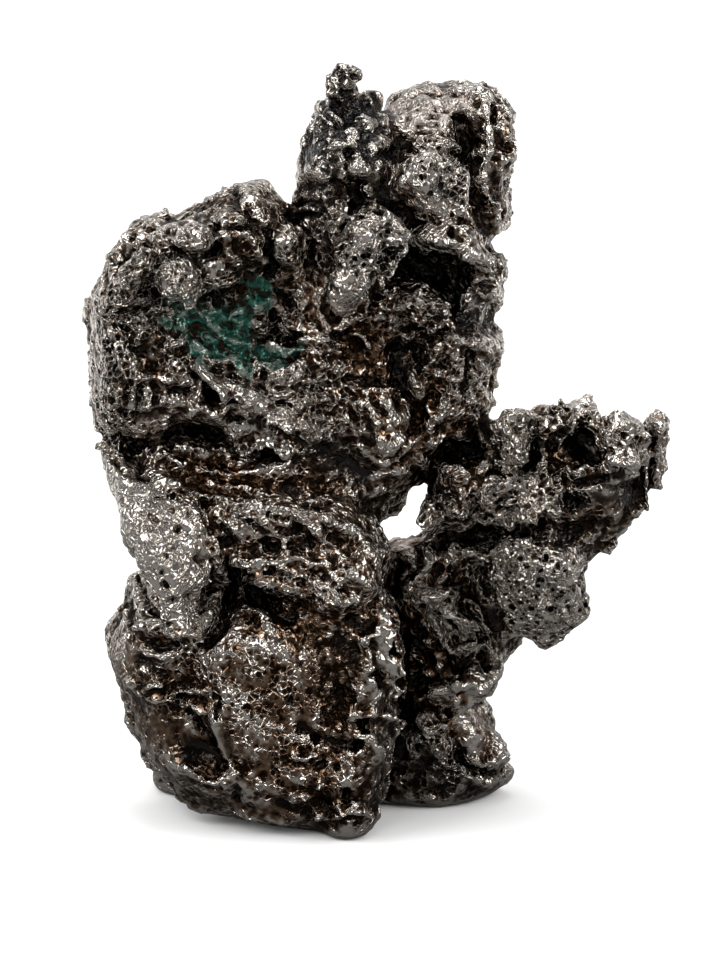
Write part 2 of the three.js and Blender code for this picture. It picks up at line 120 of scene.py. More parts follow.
class Noise:
    """Random fields in space that are the same on every run."""

    FACTORS = tuple(np.uint32(factor) for factor in (374761393, 668265263, 2246822519, 3266489917))
    SHIFTS = tuple(np.uint32(shift) for shift in (15, 13, 16))
    TOP = 1023
    SMOOTH_GAIN = 1.7
    VEIN_SHARPNESS = 1.6
    DOME_REACH = 0.8
    NUMBERS = 1000
    NUMBER_SHIFT = np.uint32(7)
    NEXT_SEED = 17

    @classmethod
    def scramble(cls, cells: np.ndarray, seed: int) -> np.ndarray:
        """Mixes whole-number cells and a seed into 32 random bits per cell, by multiplying, shifting and xor.

        Args:
            cells: (..., 3) whole numbers.
            seed: chooses another field.

        Returns:
            One unsigned number for each cell.
        """
        first, second, third, fourth = cls.FACTORS
        c = cells.astype(np.int64).astype(np.uint32)
        h = c[..., 0] * first + c[..., 1] * second + c[..., 2] * third
        h = h + np.uint32(seed) * fourth
        h = (h ^ (h >> cls.SHIFTS[0])) * third
        h = (h ^ (h >> cls.SHIFTS[1])) * fourth
        return h ^ (h >> cls.SHIFTS[2])

    @classmethod
    def threes(cls, bits: np.ndarray) -> np.ndarray:
        """Splits random bits into three numbers from 0 to 1, ten bits each, on a new last axis."""
        parts = [(bits >> np.uint32(shift)) & np.uint32(cls.TOP) for shift in (0, 10, 20)]
        return np.stack(parts, axis=-1).astype(np.float64) / cls.TOP

    @classmethod
    def smooth(cls, points: np.ndarray, size: float, seed: int) -> np.ndarray:
        """Gradient noise: a random slope at each corner of a lattice, blended by 6t^5 - 15t^4 + 10t^3.

        Args:
            points: (n, 3) points.
            size: the lattice's spacing, in the points' unit.
            seed: chooses another field.

        Returns:
            (n,) numbers from about -1 to 1.
        """
        p = points / size
        base = np.floor(p)
        t = p - base
        fade = t * t * t * (t * (t * 6 - 15) + 10)
        total = np.zeros(len(points))
        for corner in np.ndindex(2, 2, 2):
            step = np.array(corner, float)
            slope = cls.threes(cls.scramble(base + step, seed)) * 2 - 1
            share = np.prod(np.where(step == 1, fade, 1 - fade), axis=1)
            total += share * np.sum(slope * (t - step), axis=1)
        return total * cls.SMOOTH_GAIN

    @classmethod
    def cloud(cls, points: np.ndarray, size: float, seed: int) -> np.ndarray:
        """Smooth noise plus half as much at half the size; arguments and result as for smooth."""
        layers = [cls.smooth(points, size / 2**i, seed + cls.NEXT_SEED * i) / 2**i for i in range(2)]
        return np.sum(layers, axis=0)

    @classmethod
    def veins(cls, points: np.ndarray, size: float, seed: int) -> np.ndarray:
        """Thin winding crests, (1 - sharpness x |smooth noise|)^2: 1 on a crest, else down to 0."""
        return np.clip(1 - np.abs(cls.smooth(points, size, seed)) * cls.VEIN_SHARPNESS, 0, 1) ** 2

    @classmethod
    def domes(cls, points: np.ndarray, size: float, seed: int) -> np.ndarray:
        """Round lumps that meet in creases: 1 - (distance to the nearest dot / reach)^2, at least 0."""
        return np.clip(1 - (cls.cells(points, size, seed)[0] / cls.DOME_REACH) ** 2, 0, 1)

    @classmethod
    def cells(cls, points: np.ndarray, size: float, seed: int) -> tuple[np.ndarray, np.ndarray]:
        """Distance to the nearest of the dots, one in each lattice cell, and that dot's own random number.

        Args:
            points: (n, 3) points.
            size: the lattice's spacing.
            seed: chooses other dots.

        Returns:
            (n,) distances as a share of the spacing, and (n,) numbers from 0 to 1.
        """
        p = points / size
        base = np.floor(p)
        nearest = np.full(len(points), np.inf)
        number = np.zeros(len(points))
        for shift in np.ndindex(3, 3, 3):
            cell = base + np.array(shift, float) - 1
            bits = cls.scramble(cell, seed)
            apart = np.linalg.norm(cell + cls.threes(bits) - p, axis=1)
            closer = apart < nearest
            own = (bits >> cls.NUMBER_SHIFT) % np.uint32(cls.NUMBERS) / cls.NUMBERS
            nearest = np.where(closer, apart, nearest)
            number = np.where(closer, own, number)
        return nearest, number

    @classmethod
    def bend(cls, points: np.ndarray, size: float, seed: int, reach: float) -> np.ndarray:
        """Moves each point by smooth noise, so that a field read there winds.

        Args:
            points: (n, 3) points.
            size: the noise's spacing.
            seed: the first of three seeds, one for each axis.
            reach: how far the points move.

        Returns:
            (n, 3) moved points.
        """
        return points + np.stack([cls.smooth(points, size, seed + axis) for axis in range(3)], axis=1) * reach


@dataclass(frozen=True)
class Layer:
    """One layer of random relief: its noise, spacing and seed, the noise's middle, and its height."""

    noise: Callable[[np.ndarray, float, int], np.ndarray]
    size: float
    seed: int
    middle: float
    height: float

    def at(self, points: np.ndarray) -> np.ndarray:
        """(noise - middle) x height at (n, 3) points in millimetres."""
        return (self.noise(points, self.size, self.seed) - self.middle) * self.height


@dataclass(frozen=True)
class Stroke:
    """A line or a dab drawn on the sheet: a ridge or groove in the relief, or a weight in a mask."""

    line: Line
    width: float
    height: float
    power: float
    sharp_power: float = 1.5
    sharp_reach: float = 4.5
    reach: float = 2.6

    def field(self, places: np.ndarray) -> np.ndarray:
        """Height x exp(-(distance from the line / width)^power).

        Args:
            places: (n, 2 or more) places on the sheet.

        Returns:
            (n,) heights.
        """
        result = np.zeros(len(places))
        ends = np.array(self.line, float)
        reach = self.width * (self.sharp_reach if self.power < self.sharp_power else self.reach)
        low = ends.min(axis=0) - reach
        high = ends.max(axis=0) + reach
        near = np.flatnonzero(np.all((places[:, :2] > low) & (places[:, :2] < high), axis=1))
        if not near.size:
            return result
        spots = places[near, :2]
        apart = np.linalg.norm(spots - ends[0], axis=1)
        for start, end in zip(ends[:-1], ends[1:]):
            along = end - start
            t = np.clip((spots - start) @ along / (along @ along), 0, 1)
            apart = np.minimum(apart, np.linalg.norm(spots - start - t[:, None] * along, axis=1))
        result[near] = self.height * np.exp(-((apart / self.width) ** self.power))
        return result


@dataclass(frozen=True)
class Hatch:
    """Parallel streaks that fill a patch."""

    patch: Stroke
    angle: float
    pitch: float
    stretch: float = 6
    seeds: int = 97

    def field(self, places: np.ndarray) -> np.ndarray:
        """Noise drawn out along the streaks, weighted by the patch.

        Args:
            places: (n, 2 or more) places on the sheet.

        Returns:
            (n,) heights.
        """
        weight = self.patch.field(places)
        inside = np.flatnonzero(weight)
        turn = math.radians(self.angle)
        across, down = places[inside, 0], places[inside, 1]
        along = across * math.cos(turn) + down * math.sin(turn)
        aside = down * math.cos(turn) - across * math.sin(turn)
        spots = np.stack((along / self.stretch, aside, np.zeros(len(along))), axis=1)
        weight[inside] *= Noise.smooth(spots, self.pitch, int(self.pitch * 10 + self.angle) % self.seeds)
        return weight


Strokes = tuple[Stroke, ...]


def numbers(text: str) -> list[float]:
    """Reads the numbers in a text."""
    return [float(word) for word in text.split()]


def stroke(text: str, power: float) -> Stroke:
    """Reads one stroke, written as its points, a colon, its width and height and perhaps its power.

    Args:
        text: such as "134,246 150,226: 4 5".
        power: the power where none is written.

    Returns:
        The stroke.
    """
    line, values = text.split(":")
    points = tuple(tuple(numbers(point.replace(",", " "))) for point in line.split())
    width, height, *own_power = numbers(values)
    return Stroke(points, width, height, *(own_power or [power]))


def strokes(power: float, text: str) -> Strokes:
    """Reads strokes, each ended by a semicolon or its line; the power is theirs where none is written."""
    return tuple(stroke(part, power) for part in text.replace(";", "\n").splitlines() if part.strip())


def hatches(text: str) -> tuple[Hatch, ...]:
    """Reads hatches, one on each line: the patch as a stroke, a semicolon, the streaks' angle and pitch."""
    parts = [row.split(";") for row in text.splitlines() if row.strip()]
    return tuple(Hatch(stroke(patch, MASK_POWER), *numbers(streaks)) for patch, streaks in parts)


def drawn(marks: tuple[Stroke | Hatch, ...], places: np.ndarray) -> np.ndarray:
    """Sums the fields of several strokes or hatches.

    Args:
        marks: what is drawn.
        places: (n, 2 or more) places on the sheet.

    Returns:
        (n,) summed heights.
    """
    total = np.zeros(len(places))
    for mark in marks:
        total += mark.field(places)
    return total


class Skin:
    """A closed mesh held as arrays, with the steps that turn the faceted solid into the stone's surface."""

    SAME_POINT = 1e-6
    SQUARE = 5.0
    BEHIND = (26.0, 8.0)
    FACING = (-0.05, 0.35)

    def __init__(self, mesh: bpy.types.Mesh) -> None:
        """Reads a mesh.

        Args:
            mesh: the mesh to work on; it is removed whenever a modifier's result takes its place.
        """
        self.mesh = mesh

    @classmethod
    def from_node(cls, node: bpy.types.Object) -> "Skin":
        """Copies a node's mesh and merges its doubled points.

        Args:
            node: the solid from the frame.

        Returns:
            The new skin.
        """
        shell = bmesh.new()
        shell.from_mesh(node.data)
        bmesh.ops.remove_doubles(shell, verts=shell.verts, dist=cls.SAME_POINT)
        mesh = bpy.data.meshes.new("skin")
        shell.to_mesh(mesh)
        shell.free()
        mesh.materials.clear()
        return cls(mesh)

    @property
    def points(self) -> np.ndarray:
        """(n, 3) points in metres."""
        flat = np.empty(len(self.mesh.vertices) * 3)
        self.mesh.vertices.foreach_get("co", flat)
        return flat.reshape(-1, 3)

    @points.setter
    def points(self, values: np.ndarray) -> None:
        """Puts moved points into the mesh."""
        self.mesh.vertices.foreach_set("co", values.ravel())
        self.mesh.update()

    @property
    def normals(self) -> np.ndarray:
        """(n, 3) outward unit normals at the points."""
        flat = np.empty(len(self.mesh.vertices) * 3)
        self.mesh.vertex_normals.foreach_get("vector", flat)
        return flat.reshape(-1, 3)

    @property
    def edges(self) -> np.ndarray:
        """(m, 2) point numbers at the ends of each edge."""
        flat = np.empty(len(self.mesh.edges) * 2, dtype=np.int32)
        self.mesh.edges.foreach_get("vertices", flat)
        return flat.reshape(-1, 2)

    def modified(self, kind: str, open_points: np.ndarray | None = None, **settings: object) -> None:
        """Puts the result of one modifier in the mesh's place.

        Args:
            kind: the modifier's type.
            open_points: numbers of the only points that it may touch, else all of them.
            **settings: its values.
        """
        body = bpy.data.objects.new("skin_work", self.mesh)
        bpy.context.scene.collection.objects.link(body)
        modifier = body.modifiers.new("step", kind)
        if open_points is not None:
            body.vertex_groups.new(name="open").add(open_points.tolist(), 1.0, "REPLACE")
            modifier.vertex_group = "open"
        for name, value in settings.items():
            setattr(modifier, name, value)
        result = bpy.data.meshes.new_from_object(body.evaluated_get(bpy.context.evaluated_depsgraph_get()))
        bpy.data.objects.remove(body)
        bpy.data.meshes.remove(self.mesh)
        self.mesh = result

    def remesh(self, spacing: float) -> None:
        """Covers the same shape with even squares.

        Args:
            spacing: the side of a square, in metres.
        """
        self.modified("REMESH", mode="VOXEL", voxel_size=spacing, use_smooth_shade=True)

    @property
    def triangles(self) -> int:
        """How many triangles the faces make."""
        sides = np.empty(len(self.mesh.polygons), dtype=np.int32)
        self.mesh.polygons.foreach_get("loop_total", sides)
        return int((sides - 2).sum())

    def thin(self, triangles: int, open_points: np.ndarray | None = None) -> None:
        """Joins points where the surface is flattest until few enough triangles are left.

        Args:
            triangles: the most that may remain.
            open_points: numbers of the only points that may be joined, else all of them.
        """
        now = self.triangles
        if now > triangles:
            self.modified("DECIMATE", open_points, ratio=triangles / now, use_collapse_triangulate=True)

    def drop_scraps(self) -> None:
        """Deletes what thinning leaves loose: two triangles back to back on three points of their own."""
        corners = np.empty(len(self.mesh.loops), dtype=np.int32)
        self.mesh.loops.foreach_get("vertex_index", corners)
        sides = np.sort(corners.reshape(-1, 3), axis=1)
        _, group, count = np.unique(sides, axis=0, return_inverse=True, return_counts=True)
        doubled = np.unique(sides[count[group.ravel()] > 1])
        loose = doubled[np.bincount(corners)[doubled] == 2]
        shell = bmesh.new()
        shell.from_mesh(self.mesh)
        shell.verts.ensure_lookup_table()
        bmesh.ops.delete(shell, geom=[shell.verts[point] for point in loose], context="VERTS")
        shell.to_mesh(self.mesh)
        shell.free()

    def spread(self, values: np.ndarray, times: int) -> np.ndarray:
        """Moves each point's value halfway to the mean of its neighbours', several times over.

        Args:
            values: (n, k) values at the points.
            times: how often.

        Returns:
            (n, k) blurred values.
        """
        ends = self.edges
        count = len(values)
        first = np.concatenate((ends[:, 0], ends[:, 1]))
        second = np.concatenate((ends[:, 1], ends[:, 0]))
        degree = np.maximum(np.bincount(first, minlength=count), 1)[:, None]
        for _ in range(times):
            sums = [np.bincount(first, values[second, k], minlength=count) for k in range(values.shape[1])]
            values = values + 0.5 * (np.stack(sums, axis=1) / degree - values)
        return values

    def relax(self, times: int) -> None:
        """Rounds the surface by moving each point halfway to the mean of its neighbours, several times."""
        self.points = self.spread(self.points, times)

    def bulge(self, times: int) -> np.ndarray:
        """How far each point stands out from a blurred copy of the surface.

        Args:
            times: how far the copy is blurred.

        Returns:
            (n,) metres, above 0 on crests and below 0 in hollows.
        """
        here = self.points
        return np.sum((here - self.spread(here, times)) * self.normals, axis=1)

    def seen(self) -> np.ndarray:
        """How surely each point is the first that the viewer's line of sight meets.

        The least distance in each small square of the sheet is found; a point counts less the further it lies
        behind that, and the more its face turns away.

        Returns:
            (n,) numbers from 0 to 1.
        """
        places = on_sheet(self.points)
        far = places[:, 2]
        across, down = int(SHEET_WIDTH / self.SQUARE), int(SHEET_HEIGHT / self.SQUARE)
        column = np.clip((places[:, 0] / self.SQUARE).astype(int), 1, across - 2)
        row = np.clip((places[:, 1] / self.SQUARE).astype(int), 1, down - 2)
        first = np.full((down, across), np.inf)
        np.minimum.at(first, (row, column), far)
        facing = self.normals @ TOWARDS_VIEWER
        return ramp(far - first[row, column], *self.BEHIND) * ramp(facing, *self.FACING)


class Relief:
    """What is drawn on the stone's front, on the sheet: its relief, then patches of finish.

    A stroke is its points as across,down, then its width and height, and its power if it isn't the usual one.
    In the relief a height of 1 is about an eighth of a millimetre, and grooves are below 0; in a patch the
    height is the patch's weight. Some patches are painted shade and painted highlight rather than the metal's
    own colour.
    """

    BROAD: float = 5.0
    # The shoulder's upper edge, its slabs and its peak.
    SHOULDER_TOP: Strokes = strokes(LINE_POWER, """
        134,246 150,226 172,214 184,213: 4 5 1.5; 150,233 164,227 176,240: 6 -9
        118,264 128,258 142,257: 5 -9; 106,264 122,248 142,242 160,238: 4 5 1.4; 190,243 202,241: 10 17 1.6
        174,257 196,260 214,256: 5.5 -14; 216,232 217,252: 6 -11; 178,230 194,222 212,224: 6 -9
        174,281 182,277 188,285: 12 16 1.6; 202,266 206,284: 6 -9; 176,286 190,286: 10 6
        150,298 176,304 202,303 216,298: 6 -16; 133,286 141,275 150,267 157,259: 5 17 1.6
        146,290 157,276 162,262: 5 -12; 126,280 136,266 146,256: 5 -10; 121,303 132,306 144,301: 4.5 7
        116,312 140,313 150,308: 4 -8; 284,240 292,238 298,244: 10 12; 288,258 296,264: 10 8
        272,276 271,250 274,232: 6 -12; 306,240 308,262: 4 -10; 216,231 240,229 258,233: 3.5 -8
        224,232 236,250 250,272: 4 5 1.5; 240,222 252,242 262,262: 3 5 1.5
        250,210 260,226 268,246: 3 -6 1.5; 232,206 246,214 256,226: 3 -5 1.5; 234,246 246,264 252,280: 4 -6
        232,188 238,196 236,204: 4 -6; 204,278 216,284 232,280: 8 5
    """)
    # The hollow under the shoulder, with its green blobs.
    RECESS: Strokes = strokes(LINE_POWER, """
        226,338 238,343: 4.8 9 1.5; 248,298 258,308: 4.8 8 1.5; 206,338 216,344: 4.4 8 1.5
        196,348 206,356: 4.4 8 1.5; 236,362 244,374: 4.4 8 1.5; 272,350 284,352: 4 9 1.5
        288,354 298,350: 3.4 8 1.5; 228,318 240,312: 4.4 7 1.5; 262,364 280,366: 4 7 1.5
        182,322 188,333 184,343 172,347: 4 8 1.5; 212,321 226,333 240,341 248,346: 3.5 6 1.5
        234,296 244,310 240,322: 5 5; 262,302 264,306: 5 6; 218,302 226,312: 4 -6; 252,322 264,326: 6 6
        286,324 292,328: 7 10; 274,316 275,334 288,341 300,336: 3.5 -8; 276,352 290,352: 5 5
        262,342 282,344 300,346: 3.5 -7; 262,362 282,362 298,356: 3.5 -6; 278,292 286,296 290,306: 4 -7
        272,302 280,310: 4 5; 300,290 304,310 298,330: 4 5; 272,382 288,378 300,366: 6.5 9
        264,372 262,386: 3.5 -7; 210,362 232,365: 4 5 1.5; 216,372 234,376 246,382: 3.5 -9 1.5
        196,368 208,372: 4 6
    """)
    # The ribbed left flank.
    FLANK: Strokes = strokes(LINE_POWER, """
        112,362: 5 -9; 107,352: 3 -6; 134,346 142,352: 7 -6; 110,402: 4 -6; 150,316 160,322: 4 -6
        98,318 112,322 114,332: 4 5 1.5; 114,328 126,330 134,336: 3.5 -7; 128,380 150,378 170,382: 4 5 1.5
        128,386 127,406: 2.6 -5; 134,386 134,408: 2.6 4; 140,386 140,408: 2.6 -5; 148,384 149,406: 2.6 4
        156,386 156,406: 2.6 -5; 164,386 165,404: 2.6 4; 172,392 188,394: 5 -7
        120,414 144,418 164,412: 4 -6; 136,432 146,428 156,425 166,420: 3.5 6 1.5
        116,440 130,448 152,446: 6 -12; 96,420 94,432 102,444: 5 5
    """)
    # The winding rim below the recess.
    LEDGE: Strokes = strokes(LINE_POWER, """
        200,366 216,381 230,388 250,392 262,401 270,413 284,418 302,421 318,431: 4.4 14 1.4
        196,376 214,391 236,398 254,405 262,418 284,428: 4 -9 1.5
        214,370 236,379 258,386 272,400 290,408: 4 -8 1.5; 212,396 232,398 248,402 262,413: 5 -11
        222,420 228,407 244,409 262,412: 3 7 1.4; 230,420 246,422 260,424: 4 -7
        232,432 246,438 258,435 270,436 278,444 290,447: 3.5 10 1.4
        166,440 184,434 205,436 222,440 244,450 262,455 292,458: 7 -17; 190,412 206,408 216,414: 4 6
        196,424 212,422: 4 -6; 300,402 322,396 334,402: 5 6; 344,416 356,432 366,450 382,460: 5 7
        384,461 396,455 405,446 410,438: 3.5 8 1.4; 306,432 316,438 328,436: 5 6; 300,446 316,450: 4 6 1.5
        290,410 310,412 330,420: 4 5 1.5; 382,448 392,442 400,436: 5 6
        366,396 372,410 380,426 384,448: 4 7 1.5; 372,402 384,414: 3.4 -5; 366,420 370,440: 6 -5
        345,380 372,379 396,384: 3.5 -7 1.5; 350,390 376,391 396,394: 3 5 1.5; 350,400 364,404: 5 4
        320,452 344,462 360,478: 10 -4
    """)
    # The bright tongue at the left.
    TONGUE: Strokes = strokes(LINE_POWER, """
        112,474 134,516 152,566 174,606 192,626: 16 5
        188,498 204,528 216,558 220,580 214,604 204,626: 4.5 9 1.5
        96,440 108,462 124,480 142,490 164,499 184,512: 4 6 1.5; 226,560 230,590 222,622 206,642: 6 -12
        224,520 230,545: 5 -6; 132,570 140,592 152,610 168,622: 4 -8; 180,529: 3.6 -9; 190,531: 3.8 -9
        174,511: 3 -7; 166,555: 4.2 -9; 176,549: 3.4 -7; 164,574: 4.2 -8; 165,586 169,588: 4 -12
        200,558 208,562: 6 -10; 191,600 203,601: 5 -14; 174,601: 3.2 -8; 203,612: 3.2 -8
        158,520 150,514: 3 -6; 186,588: 2.8 -6; 196,570: 2.8 -5; 150,597 160,608 176,617 196,622: 3.2 6 1.4
        150,621 164,620: 5 7; 150,632 176,637 200,632: 3.5 6 1.5; 140,478 152,487 164,495 176,496: 5 -11
        162,474 170,484 176,488: 4 6; 160,452 172,456 178,464: 6 8; 132,452 140,462 140,472: 5 -8
        116,462 122,474: 4 -5
    """)
    # The layered folds across the middle.
    MIDDLE: Strokes = strokes(LINE_POWER, """
        182,492 206,498 226,502: 3.5 5 1.5; 250,506 276,510 300,514 330,522: 4 6 1.5
        214,512 236,526 250,546: 4 5 1.5; 262,520 282,536 290,554: 4 5 1.5; 306,524 326,540 344,560: 5 6
        240,516 262,530 272,548: 4 -6; 292,520 306,536 316,556: 4 -6; 210,484 236,490 262,492: 3.5 5 1.5
        200,470 230,476 270,470 290,462: 3.5 4 1.5; 286,486 300,500 320,506: 6 -7; 270,532 292,532: 5 -5
        296,530 300,534: 3.5 -9; 230,544 262,548 300,546 330,540: 7 -5; 228,562 248,566 262,562: 4 6 1.5
        280,564 300,560 326,566: 4 6 1.5; 250,576 280,584 310,590 334,600: 4 5 1.5
        270,568 284,578 304,582: 3 -6; 318,572 334,586 348,592: 4 -6; 262,570 290,576: 3 -5
        228,576 244,584 256,598: 9 -15; 266,604 290,616: 7 -7; 248,606 262,616 270,626: 6 7
        322,604 338,596 352,598: 7 7; 352,572 372,584 382,600: 6 6; 330,520 352,534 370,552: 6 5
        340,498 364,508 384,500: 5 -6; 350,480 376,476 400,470: 5 5; 350,620 366,628: 6 -6
    """)
    # The cheek between the folds and the cleft.
    CHEEK: Strokes = strokes(LINE_POWER, """
        128,604 129,618 132,634: 4 -11; 136,633 146,626 156,622 170,622: 3.5 7 1.5
        112,622 120,612 126,604: 4 4; 140,614 144,620: 3.5 4; 150,643 164,646 186,642: 4.5 -8
        140,662 150,664: 5 -7; 148,652 162,656 176,654: 3.5 5; 150,672 166,674: 6 -5
        132,678 138,690 148,697 162,699 172,694: 3 8 1.4; 146,690 152,685 162,686: 3 6 1.4
        154,692 162,691: 3 -6; 174,698 188,706 202,712: 4 5 1.5; 178,688 194,690 206,690: 2.8 6 1.4
        189,711 197,721 203,732: 3 -11; 217,698 218,714: 3.5 -8; 196,752 214,752: 15 -3
        216,716 222,738 230,762 238,780: 5 7 1.5; 186,767 198,775 210,777 228,780: 3.2 11 1.4; 222,765: 4 -9
        236,784 237,800: 4 -9; 231,785: 3.5 6
    """)
    # The lower belly, its scar and its broken right edge.
    BELLY: Strokes = strokes(LINE_POWER, """
        363,725: 4.5 -14; 357,747: 3.6 -10; 338,764: 4 -9; 324,765: 5 -9; 347,794: 4.5 -12; 324,801: 4 -8
        316,738: 3.5 -7; 372,676: 3.5 -7; 338,690: 3.5 -7; 290,700: 3 -5; 262,776: 3.5 -6; 300,664: 3 -5
        338,802 346,806 354,802: 4 7; 294,756 306,758 316,754: 3.5 6; 338,760 346,762: 3.5 5
        352,716 372,714: 4 5; 370,738 376,756: 5 5; 300,726 330,742 360,744: 5 -5
        292,798 312,792 322,782: 3.5 6 1.5; 318,812 334,818 350,808 366,814: 4 6 1.5
        232,700 250,730 262,780: 16 4; 340,640 360,660: 10 -4; 364,640 378,630: 5 6
        381,612 384,640 387,664 392,684 397,697: 3 11 1.3
        390,626 395,640 397,660 401,682 401,696: 2.8 11 1.3; 389,646 391,666 396,684: 2.6 -8 1.5
        374,640 377,664 382,684: 3.5 -6; 384,716 396,722 391,736 380,748: 4 7; 240,812 280,820 300,832: 4 4
        260,794 300,810 330,828: 6 -4
    """)
    # The head with its spur, droplets and slits.
    HEAD: Strokes = strokes(LINE_POWER, """
        340,69 352,67 364,72: 4.5 4; 343,75: 3.5 -6; 356,76: 4 -7; 330,96 336,102: 4 5; 342,84 342,96: 4 -5
        366,96 369,110: 3 6 1.5; 334,106 350,114 348,126: 7 -10; 312,116 316,124: 4 5
        322,120 332,130: 2.4 5 1.5; 326,118 336,128: 2.4 -5 1.5; 330,116 340,126: 2.4 4 1.5
        352,136 358,146: 5 7; 332,156 338,151 344,152: 4.5 9; 347,156: 4 -10; 362,150 364,140: 5 -10
        340,160 344,180 343,198 336,216: 3.5 8 1.5; 308,172 326,166 334,176: 9 5; 312,176 326,180: 4 5
        306,192 324,190: 6 -6; 298,207 320,207: 2.8 -11 1.5; 304,215 320,216: 2.6 -8 1.5
        302,211 320,211: 2.6 5 1.5; 306,222 312,226: 4 4; 350,172 366,170: 6 6; 352,196 360,204: 6 -5
        368,192 372,208: 4 4; 346,186 364,186: 3.5 -6; 392,96 408,88 426,84 440,84: 11 -9
        368,136 384,132 400,142: 6 -6; 376,160 396,154 410,148: 5 -6; 366,158 372,168: 5 -6
        400,112 430,108 452,112: 2.8 -5 1.5; 408,119 436,117 460,120: 2.8 -5 1.5
        404,127 430,126 452,128: 2.8 -5 1.5; 416,136 436,134 452,138: 2.8 -5 1.5; 405,103: 5 -4
        424,103: 5 4; 446,104: 6 -3; 418,140 422,150: 3.5 5; 450,88 456,84: 5 4; 452,94 466,96: 4 -5
        476,96 484,100 490,112: 4 6; 476,106 482,114: 3.5 -7; 492,110 498,130 500,150: 4 -9
        494,96 504,120 508,148 506,172: 4 6 1.5; 498,140 500,160 496,176: 3 6 1.5
        482,112 490,130 492,152 484,172 478,200: 5 7; 478,126 479,150 476,172: 4 -8
        460,124 466,148 460,176: 6 -7; 462,166 468,190 465,214 472,236: 2.6 5 1.4
        474,190 480,212 484,230: 6 -7; 486,190 492,206 497,224: 3 7 1.5; 498,202 499,216: 5 -5
        456,223: 4 -9; 453,234: 4.4 -11; 461,239: 3 -6; 444,224 462,230 466,242: 3 5 1.5
    """)
    # The two front knobs.
    KNOBS: Strokes = strokes(LINE_POWER, """
        424,152 438,147 452,150 457,168 460,186 457,206: 4 7 1.5; 414,184 424,168 430,158: 8 6
        442,184 446,196: 8 -10; 430,190 430,200: 5 -6; 445,157: 3.5 -6; 420,182: 3.5 -7; 422,162: 3 -5
        436,172 446,172: 4 -6; 424,206 440,214 452,210: 4 5 1.5; 396,192 408,186 414,180: 5 7
        428,216 440,222 450,216: 3.5 -6; 332,224 346,218 362,215 376,209 384,216: 4.5 7
        390,222 399,234 400,248 394,262 386,270: 4 9 1.6; 380,240 386,250: 7 -11; 364,257: 4 -8
        380,217: 3.4 -8; 343,226 350,224: 3 -6; 366,246: 3 -6; 368,230: 3 -5; 357,226: 2.8 -5
        348,240: 3.2 -6; 390,232: 3 -4; 344,259: 3.4 -8; 353,262: 3 -7; 345,273: 3.4 -9; 356,275: 4.2 -9
        338,268: 3 -6; 362,266: 2.8 -5; 340,282 352,289 364,284 369,272: 3.4 6 1.5; 338,298 346,304: 6 5
        360,294 366,300: 5 4; 340,314 352,312: 5 -7; 392,196 400,206: 5 5
    """)
    # The cave and the crusts round it.
    CAVE: Strokes = strokes(LINE_POWER, """
        392,246 412,240 432,240 450,246: 5 5; 402,264 430,268 452,280 464,300: 17 -13
        456,292 464,318: 12 -18; 410,280 424,288: 6 7; 430,258 446,266: 5 7; 398,214 388,232 408,236: 7 -12
        466,200 462,176 458,150: 6 -8; 326,214 324,240 330,270: 6 -9; 462,250 474,254 486,262: 4 8 1.5
        470,262 480,267 488,270: 3.5 6; 478,262 480,266: 3 -6
        476,280 484,276 492,282 494,292 486,298 478,292: 3 6 1.5; 485,287: 4.5 -9
        496,258 502,266 500,280: 4 5; 413,302 426,304 438,307 446,309: 2.8 11 1.4
        419,307 430,311 440,314: 2.4 8 1.4; 384,304 396,308 408,306: 3.5 7 1.5; 380,316 400,322 422,320: 4 5
        404,337 418,332 430,326 440,318: 3 7 1.5; 378,268 380,284 386,296 398,293: 2.6 8 1.4
        370,274 372,290: 4 -6; 404,348 416,352 420,364: 9 -12; 300,342 320,341 342,346: 3.5 7 1.5
        304,332 322,335 340,328: 3.5 6 1.5; 330,328 346,324 362,318: 4 5; 326,344 336,336 352,330: 3 -6
        352,332 364,336 370,346: 4 6; 314,352 326,350 334,354: 3 6; 312,360 320,365 330,362: 3 5
        320,290 326,278 328,262: 4 6 1.5; 334,300 332,284: 4 -7; 302,376 314,384 324,378: 5 5
        300,390 320,388 336,386: 3 -5
    """)
    # The neck above the gap.
    NECK: Strokes = strokes(LINE_POWER, """
        452,338 440,356 428,374 421,396: 3 9 1.4; 440,371 450,378 458,378: 2.6 8 1.4
        454,352 461,364 463,378: 3 7 1.4; 442,364 452,370: 4 -7; 458,344 474,346: 9 6; 463,349: 3 -7
        466,364 468,384 464,402: 4 -11; 484,342 496,350: 8 5; 480,344 490,356: 2.6 5 1.4
        480,366 490,372 492,384: 4 4; 484,380 488,392: 3 -6; 470,352 474,362: 3 -4
        430,404 436,416 430,430: 4 6; 446,400 440,420: 3 5; 452,390 462,400 470,398: 3 5
        444,440 460,452 476,450: 12 -8; 434,440 450,432 470,437: 5 9; 480,438 486,454 480,472: 5 8
        438,466 458,476: 6 8; 452,446 462,458: 5 7; 396,350 400,376 404,400: 8 -8; 412,376 414,396: 5 4
        470,470 486,466: 4 5; 420,456 428,470: 4 5; 486,402 495,405: 3 4
    """)
